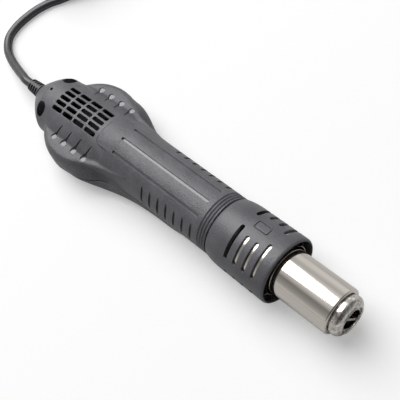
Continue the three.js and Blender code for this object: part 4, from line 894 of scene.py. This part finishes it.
FLOOR_SHADE, FLOOR_SEEN, FLOOR_GLOW = 0.22, 0.7, 0.36
FLOOR_FADE = (0.35, 2.6)
KEY_PLACE = (-1.06, 0.18, 1.92)
KEY_WIDTH, KEY_LENGTH, KEY_POWER = 2.2, 3.2, 60
AMBIENT = 0.095
FRONT_GLOSS = 0.35
NEAR_GLOSS = [(0, 0.7), (0.26, 0.45), (0.45, 0.33), (0.7, 0.25), (0.84, 0.6), (1, 1)]
FAR_GLOSS = [(0, 0.8), (0.28, 0.85), (0.5, 0.7), (0.7, 0.55), (0.84, 0.8), (1, 1)]


def grey(level):
    return (level, level, level, 1)


def ramp(tree, value, stops):
    """Grey level through the given (place, level) stops."""
    node = tree.nodes.new("ShaderNodeValToRGB")
    elements = node.color_ramp.elements
    while len(elements) < len(stops):
        elements.new(0.5)
    for element, (place, level) in zip(elements, stops):
        element.position = place
        element.color = grey(level)
    tree.links.new(value, node.inputs["Fac"])
    return node.outputs["Color"]


def floor_and_light():
    """White paper that keeps the shadow, a soft key from above, and a dim surrounding."""
    material, tree, shader = new_material("floor_paper")
    path = tree.nodes.new("ShaderNodeLightPath").outputs
    seen = math_node(tree, "MAXIMUM", path["Is Camera Ray"], path["Is Glossy Ray"])
    relief = {"Distance": 4e-5, "Height": noise(tree, 900, 3)}
    place = make(tree, "ShaderNodeTexCoord", "Object")
    away = make(tree, "ShaderNodeVectorMath", "Value", {0: place}, operation="LENGTH")
    far = spread(tree, away, 0, 1, *FLOOR_FADE)
    fill(tree, shader, {
        "Base Color": tint(tree, seen, grey(FLOOR_SHADE), grey(FLOOR_SEEN)),
        "Roughness": 0.9, "Specular IOR Level": 0.1, "Emission Strength": path["Is Camera Ray"],
        "Normal": make(tree, "ShaderNodeBump", "Normal", relief),
        "Emission Color": tint(tree, far, grey(FLOOR_GLOW), grey(1)),
    })
    corners = [(-4, -4, 0), (4, -4, 0), (4, 4, 0), (-4, 4, 0)]
    floor = add_mesh("floor_sheet", corners, [(0, 1, 2, 3)])
    floor.data.materials.append(material)

    scene.world = bpy.data.worlds.new("studio")
    scene.world.use_nodes = True
    tree = scene.world.node_tree
    split = tree.nodes.new("ShaderNodeSeparateXYZ")
    fill(tree, split, {0: make(tree, "ShaderNodeTexCoord", "Generated")})
    side = spread(tree, split.outputs["Y"], 0, 1, -0.3, 0.3)
    near, far = [ramp(tree, split.outputs["Z"], stops) for stops in (NEAR_GLOSS, FAR_GLOSS)]
    front = spread(tree, split.outputs["X"], 1, FRONT_GLOSS, 0.0, 0.35)
    level = math_node(tree, "MULTIPLY", tint(tree, side, near, far), front)
    path = tree.nodes.new("ShaderNodeLightPath").outputs
    level = math_node(tree, "SUBTRACT", level, AMBIENT)
    level = math_node(tree, "MULTIPLY", path["Is Glossy Ray"], level)
    level = math_node(tree, "ADD", level, AMBIENT)
    level = math_node(tree, "MAXIMUM", level, path["Is Camera Ray"])
    fill(tree, tree.nodes["Background"], {"Color": grey(1), "Strength": level})

    data = bpy.data.lights.new("lamp_key", "AREA")
    data.shape = "ELLIPSE"
    data.size, data.size_y = KEY_WIDTH, KEY_LENGTH
    data.energy = KEY_POWER
    lamp = put("lamp_key", data)
    lamp.location = KEY_PLACE
    lamp.rotation_euler = (-Vector(KEY_PLACE)).to_track_quat("-Z", "Y").to_euler()
    scene.view_settings.view_transform = "Standard"


# ---- turned parts at the front


def turned(name, profile, look, replaces, body="handpiece", sides=96, closed=True,
           cuts=(), move=None):
    """A lathed piece round the barrel's axis, or where move takes it, less its cuts."""
    v, f = outward(*lathe_mesh(profile, sides, closed=closed))
    obj = add_mesh(name, to_frame(move(v) if move else v), f)
    for cut in cuts:
        boolean(obj, cut)
    dress(obj, look, replaces, body)


def shifted(x, profile):
    """A profile whose places count from x."""
    return [(x + along, radius) for along, radius in profile]


COLLAR_X = 133.2
BADGE_SPINE = -17
BARREL_END = 196.5
BAFFLE_FRONT = 201.1
BAFFLE_TURN = -60
BOOT_TIP = -8.8


def badge_frame():
    """The fine line round the bare badge field on one of the collar's spines."""
    rings = []
    wide, narrow = (7.4, 4.4, 0.7), (6.6, 3.6, 0.45)
    for size, z in ((wide, 15.5), (wide, 18.5), (narrow, 18.5), (narrow, 15.5)):
        rings.append([(COLLAR_X + 19.7 + x, y, z) for x, y in rounded_outline(*size)])
    v, f = loft_mesh(rings, loop=True)
    return turn_x(v, BADGE_SPINE), f


def collar_pieces():
    guard = [(0, 13.7), (0, 14.1), (0.15, 14.45)]
    for t in np.linspace(0, 1, 13):
        guard.append((0.5 + 8.3 * t, 14.75 + 1.2 * math.sin(t * math.pi / 2) ** 0.8))
    guard += [
        (20, 16.1), (33.2, 16.2), (33.8, 16.1), (34.3, 15.85), (34.55, 15.55), (34.6, 15.3),
        (34.45, 15.1), (34, 15), (33.4, 15.05), (33, 15.25), (12, 15.25), (11.4, 14.6),
        (10.8, 14.6), (10.8, 11.6), (9.5, 11.6), (9.5, 13.7),
    ]
    slots = []
    for group in range(4):
        spine = BADGE_SPINE + 90 * group
        for station in range(4):
            middle = station in (1, 2)
            start = spine + 14 + 10 * (middle and group == 0)
            end = spine + 76 - 10 * (middle and group == 3)
            slots.append(ring_slot(COLLAR_X + 12.7 + 5.07 * station, 1.9, (start, end), 13.4, 18.5))
    turned("collar_guard", shifted(COLLAR_X, guard), collar_look, ["vented_collar"],
           "collar", 144, cuts=[joined(slots), joined([badge_frame()])])
    sleeve = [
        (15.2, 11.9), (15.2, 14.8), (15.5, 15.05), (29.6, 15.05), (29.8, 14.9), (29.6, 14.75),
        (15.8, 14.75), (15.7, 14.6), (15.7, 12.4), (32.4, 12.3), (33, 12.36), (33.45, 12.25),
        (33.3, 11.95), (32, 11.9),
    ]
    turned("collar_shield", shifted(COLLAR_X, sleeve), shield_look,
           ["heat_shield"], "collar")


def barrel_pieces():
    tube = shifted(BARREL_END, [
        (-54.9, 10.3), (-54.9, 12.9), (-54.75, 13), (-54.2, 13), (-54.1, 12.9), (-54.1, 11.15),
        (-53.95, 11), (-0.9, 11), (-0.5, 10.9), (-0.2, 10.7), (0, 10.3), (0, 9.1), (-0.8, 9.1),
        (-0.8, 10.3),
    ])
    turned("barrel_polished", tube, steel_look, ["barrel_tube"], sides=128)
    cap = shifted(BARREL_END, [
        (-2.7, 7.2), (-2.7, 10), (-1.1, 10), (-1.1, 8.8), (0.5, 8.8), (0.5, 9.25), (0.62, 9.42),
        (0.9, 9.5), (2.1, 9.5), (2.7, 9.42), (3.3, 9.2), (3.85, 8.85), (4.3, 8.4), (4.6, 7.9),
        (4.8, 7.4), (5, 7.1), (5.25, 6.95), (5.4, 6.75), (5.4, 6.3), (5.3, 6.08), (5.1, 6),
        (4.7, 6), (4.7, 6.9), (2.9, 6.9), (2.9, 7.2),
    ])
    turned("barrel_cap", cap, cap_look, ["outlet_cap"])
    disc = shifted(BAFFLE_FRONT, [
        (-1.5, 0), (-1.5, 6.7), (-1.4, 6.8), (-0.1, 6.8), (0, 6.7), (0, 5.85), (0.12, 5.7),
        (0.12, 0),
    ])
    windows = []
    for sign in (-1, 1):
        outline = [(5.2, sign * 0.55), (5.4, sign * 0.8)]
        for t in np.linspace(0.12, math.pi - 0.12, 17):
            outline.append((5.45 * math.cos(t), sign * (0.75 + 3.9 * math.sin(t) ** 0.8)))
        outline += [(-5.4, sign * 0.8), (-5.2, sign * 0.55)]
        v, f = prism(outline, -6, 6)
        windows.append((turn_x(v[:, (2, 0, 1)] + (BAFFLE_FRONT, 0, 0), BAFFLE_TURN), f))
    turned("barrel_baffle", disc, cap_look, ["outlet_baffle"], sides=64,
           closed=False, cuts=[joined(windows)])


def boot_piece():
    profile = [(0, 2.35), (0, 3), (0.12, 3.2), (0.4, 3.3)]
    profile += [(mix(0.4, 7.6, t), mix(3.3, 3.95, t)) for t in np.linspace(0.1, 1, 8)]
    profile += [
        (8.3, 3.95), (8.5, 3.8), (8.5, 2.9), (11.8, 2.9), (11.8, 3.5), (11.9, 3.6), (12.9, 3.6),
        (13, 3.5), (13, 0), (0.6, 0), (0.6, 2.35),
    ]
    slits = []
    for i in range(4):
        for angles in ((-168, -12), (12, 168)):
            v, f = ring_slot(BOOT_TIP + 1.5 + i * 5.5 / 3, 1.15, angles, 1.6, 5)
            slits.append((at_cable(v), f))
    turned("cable_relief", shifted(BOOT_TIP, profile), boot_look, ["cable_boot"],
           sides=48, cuts=[joined(slits)], move=at_cable)


# ---- connector, tie and screws


CONNECTOR_PLACE = (-140.8757, 74.693, CONNECTOR_HEIGHT)
CONNECTOR_HEADING = 119
NUT_START, NUT_END = 24.9, 36.9
NUT_RADIUS = 9.5


def laid(verts, place, heading):
    """Points turned round the upright axis and moved to a place over the floor."""
    c, s = math.cos(math.radians(heading)), math.sin(math.radians(heading))
    x, y, z = np.asarray(verts, float).T
    x, y = place[0] + c * x - s * y + CENTRE_X, place[1] + s * x + c * y
    return np.stack([x, y, place[2] + z - AXIS_HEIGHT], 1)


def at_connector(verts):
    return laid(verts, CONNECTOR_PLACE, CONNECTOR_HEADING)


def flute_ring(count, start, end, radius, size, sides=8, turn=0.0):
    """Round cutters parallel to the connector's axis, set in a ring."""
    rods = []
    for i in range(count):
        angle = math.radians(360 * i / count + turn)
        v, f = lathe_mesh([(start, 0), (start, size), (end, size), (end, 0)], sides)
        rods.append((at_connector(v + (0, radius * math.cos(angle), radius * math.sin(angle))), f))
    return joined(rods)


def connector_pieces():
    sleeve = [(-1.1, 2.42), (-1.1, 2.95), (-0.9, 3.15)]
    for i in range(9):
        x, r = -0.5 + 1.12 * i, mix(3.2, 5.9, i / 8)
        sleeve += [(x, r), (x + 0.5, r + 0.06), (x + 0.62, r - 0.34), (x + 1.0, r - 0.28)]
    sleeve += [
        (9.8, 6.35), (10.3, 6.7), (10.5, 6.8), (13.1, 6.8), (13.3, 6.65), (13.3, 0), (0.25, 0),
        (0.25, 2.42),
    ]
    turned("connector_strain", sleeve, boot_look, ["connector_boot"], sides=72,
           cuts=[flute_ring(16, 10.9, 14, 7.15, 0.7)], move=at_connector)
    shell = [
        (13.6, 0), (13.6, 7.1), (13.8, 7.35), (14.3, 7.85), (14.6, 8), (22.4, 8), (22.6, 7.85),
        (22.6, 7.5), (22.7, 7.4), (23.7, 7.4), (23.8, 7.5), (23.8, 7.85), (24, 8), (24.4, 8),
        (24.6, 7.85), (24.6, 6.8), (37.3, 6.8), (37.6, 6.55), (37.6, 5.8), (37.4, 5.6),
        (28.6, 5.6), (28.6, 0),
    ]
    knurl = flute_ring(40, 15.6, 21.4, 8.12, 0.34, 6)
    v, f = box_mesh((31, 38), (-0.9, 0.9), (5.0, 6.2))
    turned("connector_body", shell, connector_look, ["connector_shell"],
           sides=72, closed=False, cuts=[knurl, (at_connector(v), f)], move=at_connector)
    half = [
        (0, 8.9), (0.15, 9.2), (0.6, NUT_RADIUS), (1.2, NUT_RADIUS), (1.3, 9.3), (1.6, 9.3),
        (1.7, NUT_RADIUS),
    ]
    nut = [(NUT_START, 7.1)] + shifted(NUT_START, half)
    nut += [(NUT_END - x, r) for x, r in reversed(half)] + [(NUT_END, 7.6), (NUT_END - 0.5, 7.1)]
    flutes = flute_ring(7, NUT_START + 2, NUT_END - 2, NUT_RADIUS + 0.3, 0.85, 12, 22.5)
    start, end = NUT_START + 2.2, NUT_END - 2.2
    fine = flute_ring(49, start, end, NUT_RADIUS + 0.08, 0.24, 6, 22.5 + 180 / 49)
    turned("connector_ring", nut, connector_look, ["connector_nut"],
           "coupling_nut", 72, cuts=[fine, flutes], move=at_connector)


TIE_ANGLE = 150
TIE_INNER, TIE_OUTER = 11.8, 33.45
TIE_BOTTOM, TIE_TOP = 0.55, 11.0
TIE_CORNER, TIE_TOOTH = 2.2, 0.55
TIE_THICKNESS, TIE_WIDTH = 0.5, 4


def at_tie(verts):
    """Points out from the coil's centre, across the strap and up, moved to the tie."""
    centre = COIL_ENTRY + direction(COIL_HEADING + 90) * COIL_RADIUS
    return laid(verts, (centre.x, centre.y, 0), TIE_ANGLE)


def tie_block(out, across, heights, corner=0.5):
    """A block with rounded upright edges, its span counted outwards from the strap."""
    middle, length = TIE_OUTER + sum(out) / 2, out[1] - out[0]
    outline = [(middle + u, w) for u, w in rounded_outline(length, 2 * across, corner, 3)]
    v, f = prism(outline, *heights)
    return at_tie(v), f


def tie_strap():
    """The tie's toothed strap round all turns, with its head and the strap's free end."""
    outline = rounded_outline(TIE_OUTER - TIE_INNER, TIE_TOP - TIE_BOTTOM, TIE_CORNER, 6)
    path = []
    for k, (u, z) in enumerate(outline):
        angle = math.radians(90 * (k // 7) + 15 * (k % 7))
        u, z = u + (TIE_OUTER + TIE_INNER) / 2, z + (TIE_TOP + TIE_BOTTOM) / 2
        path.append((u, z, math.cos(angle), math.sin(angle)))
    fine = []
    for (u, z, nu, nz), (u2, z2, nu2, nz2) in zip(path, path[1:] + path[:1]):
        count = max(1, round(math.hypot(u2 - u, z2 - z) / TIE_TOOTH))
        for i in range(count):
            t = i / count
            normal = Vector((mix(nu, nu2, t), mix(nz, nz2, t))).normalized()
            fine.append((mix(u, u2, t), mix(z, z2, t), normal.x, normal.y))
    rings = []
    half = TIE_WIDTH / 2
    for i, (u, z, nu, nz) in enumerate(fine):
        tooth = TIE_THICKNESS - 0.14 * (i % 2)
        section = [(half, 0), (half, 0.42), (half - 0.7, TIE_THICKNESS), (half - 0.8, tooth)]
        section = [(-w, out) for w, out in section] + section[::-1]
        rings.append(at_tie([(u + nu * out, w, z + nz * out) for w, out in section]))
    v, f = loft_mesh(rings, loop=True)
    strap = add_mesh("tie_strap", to_frame(v), f)
    boolean(strap, tie_block((0.35, 3.4), 2.7, (3.8, 7.8)), "UNION")
    boolean(strap, tie_block((1.25, 2.35), 2.05, (3.0, 9.0), 0.3))
    boolean(strap, tie_block((1.5, 2.1), 1.9, (2.6, 14.0), 0.25), "UNION")
    boolean(strap, tie_block((1.0, 1.55), 1.2, (4.6, 7.2), 0.2), "UNION")
    dress(strap, tie_look, ["cable_tie"])


def shell_screw(number, side):
    x, y = SHELL_SCREW_X, side * SHELL_SCREW_Y
    profile = [(-14, 0), (-13.2, 0.9)]
    for i in range(14):
        z = -12.9 + i * 0.75
        profile += [(z, 0.85), (z + 0.3, 1.12), (z + 0.45, 1.12)]
    profile += [
        (-2.2, 0.9), (-1.95, 1.0), (-1.95, 2.4), (-1.85, 2.5), (-1.0, 2.5), (-0.55, 2.2),
        (-0.25, 1.6), (-0.15, 0),
    ]
    v, f = outward(*lathe_mesh(profile, 32, "z", x, y))
    screw = add_mesh(f"well_screw_{number}", to_frame(v), f)
    for a, b in ((1.4, 0.275), (0.275, 1.4)):
        boolean(screw, box_mesh((x - a, x + a), (y - b, y + b), (-1.2, 1)))
    dress(screw, screw_look, [f"shell_screw_{number}"])


photo_camera()
cord = cable_curve(rubber_look)
floor_and_light()
upper, lower = housing_pieces()
dress(upper, housing_look, ["upper_shell"], angle=32)
dress(lower, housing_look, ["lower_shell"], angle=32)
polish_shelves(upper, shelf_look)
collar_pieces()
barrel_pieces()
boot_piece()
shell_screw(1, -1)
shell_screw(2, 1)
connector_pieces()
tie_strap()
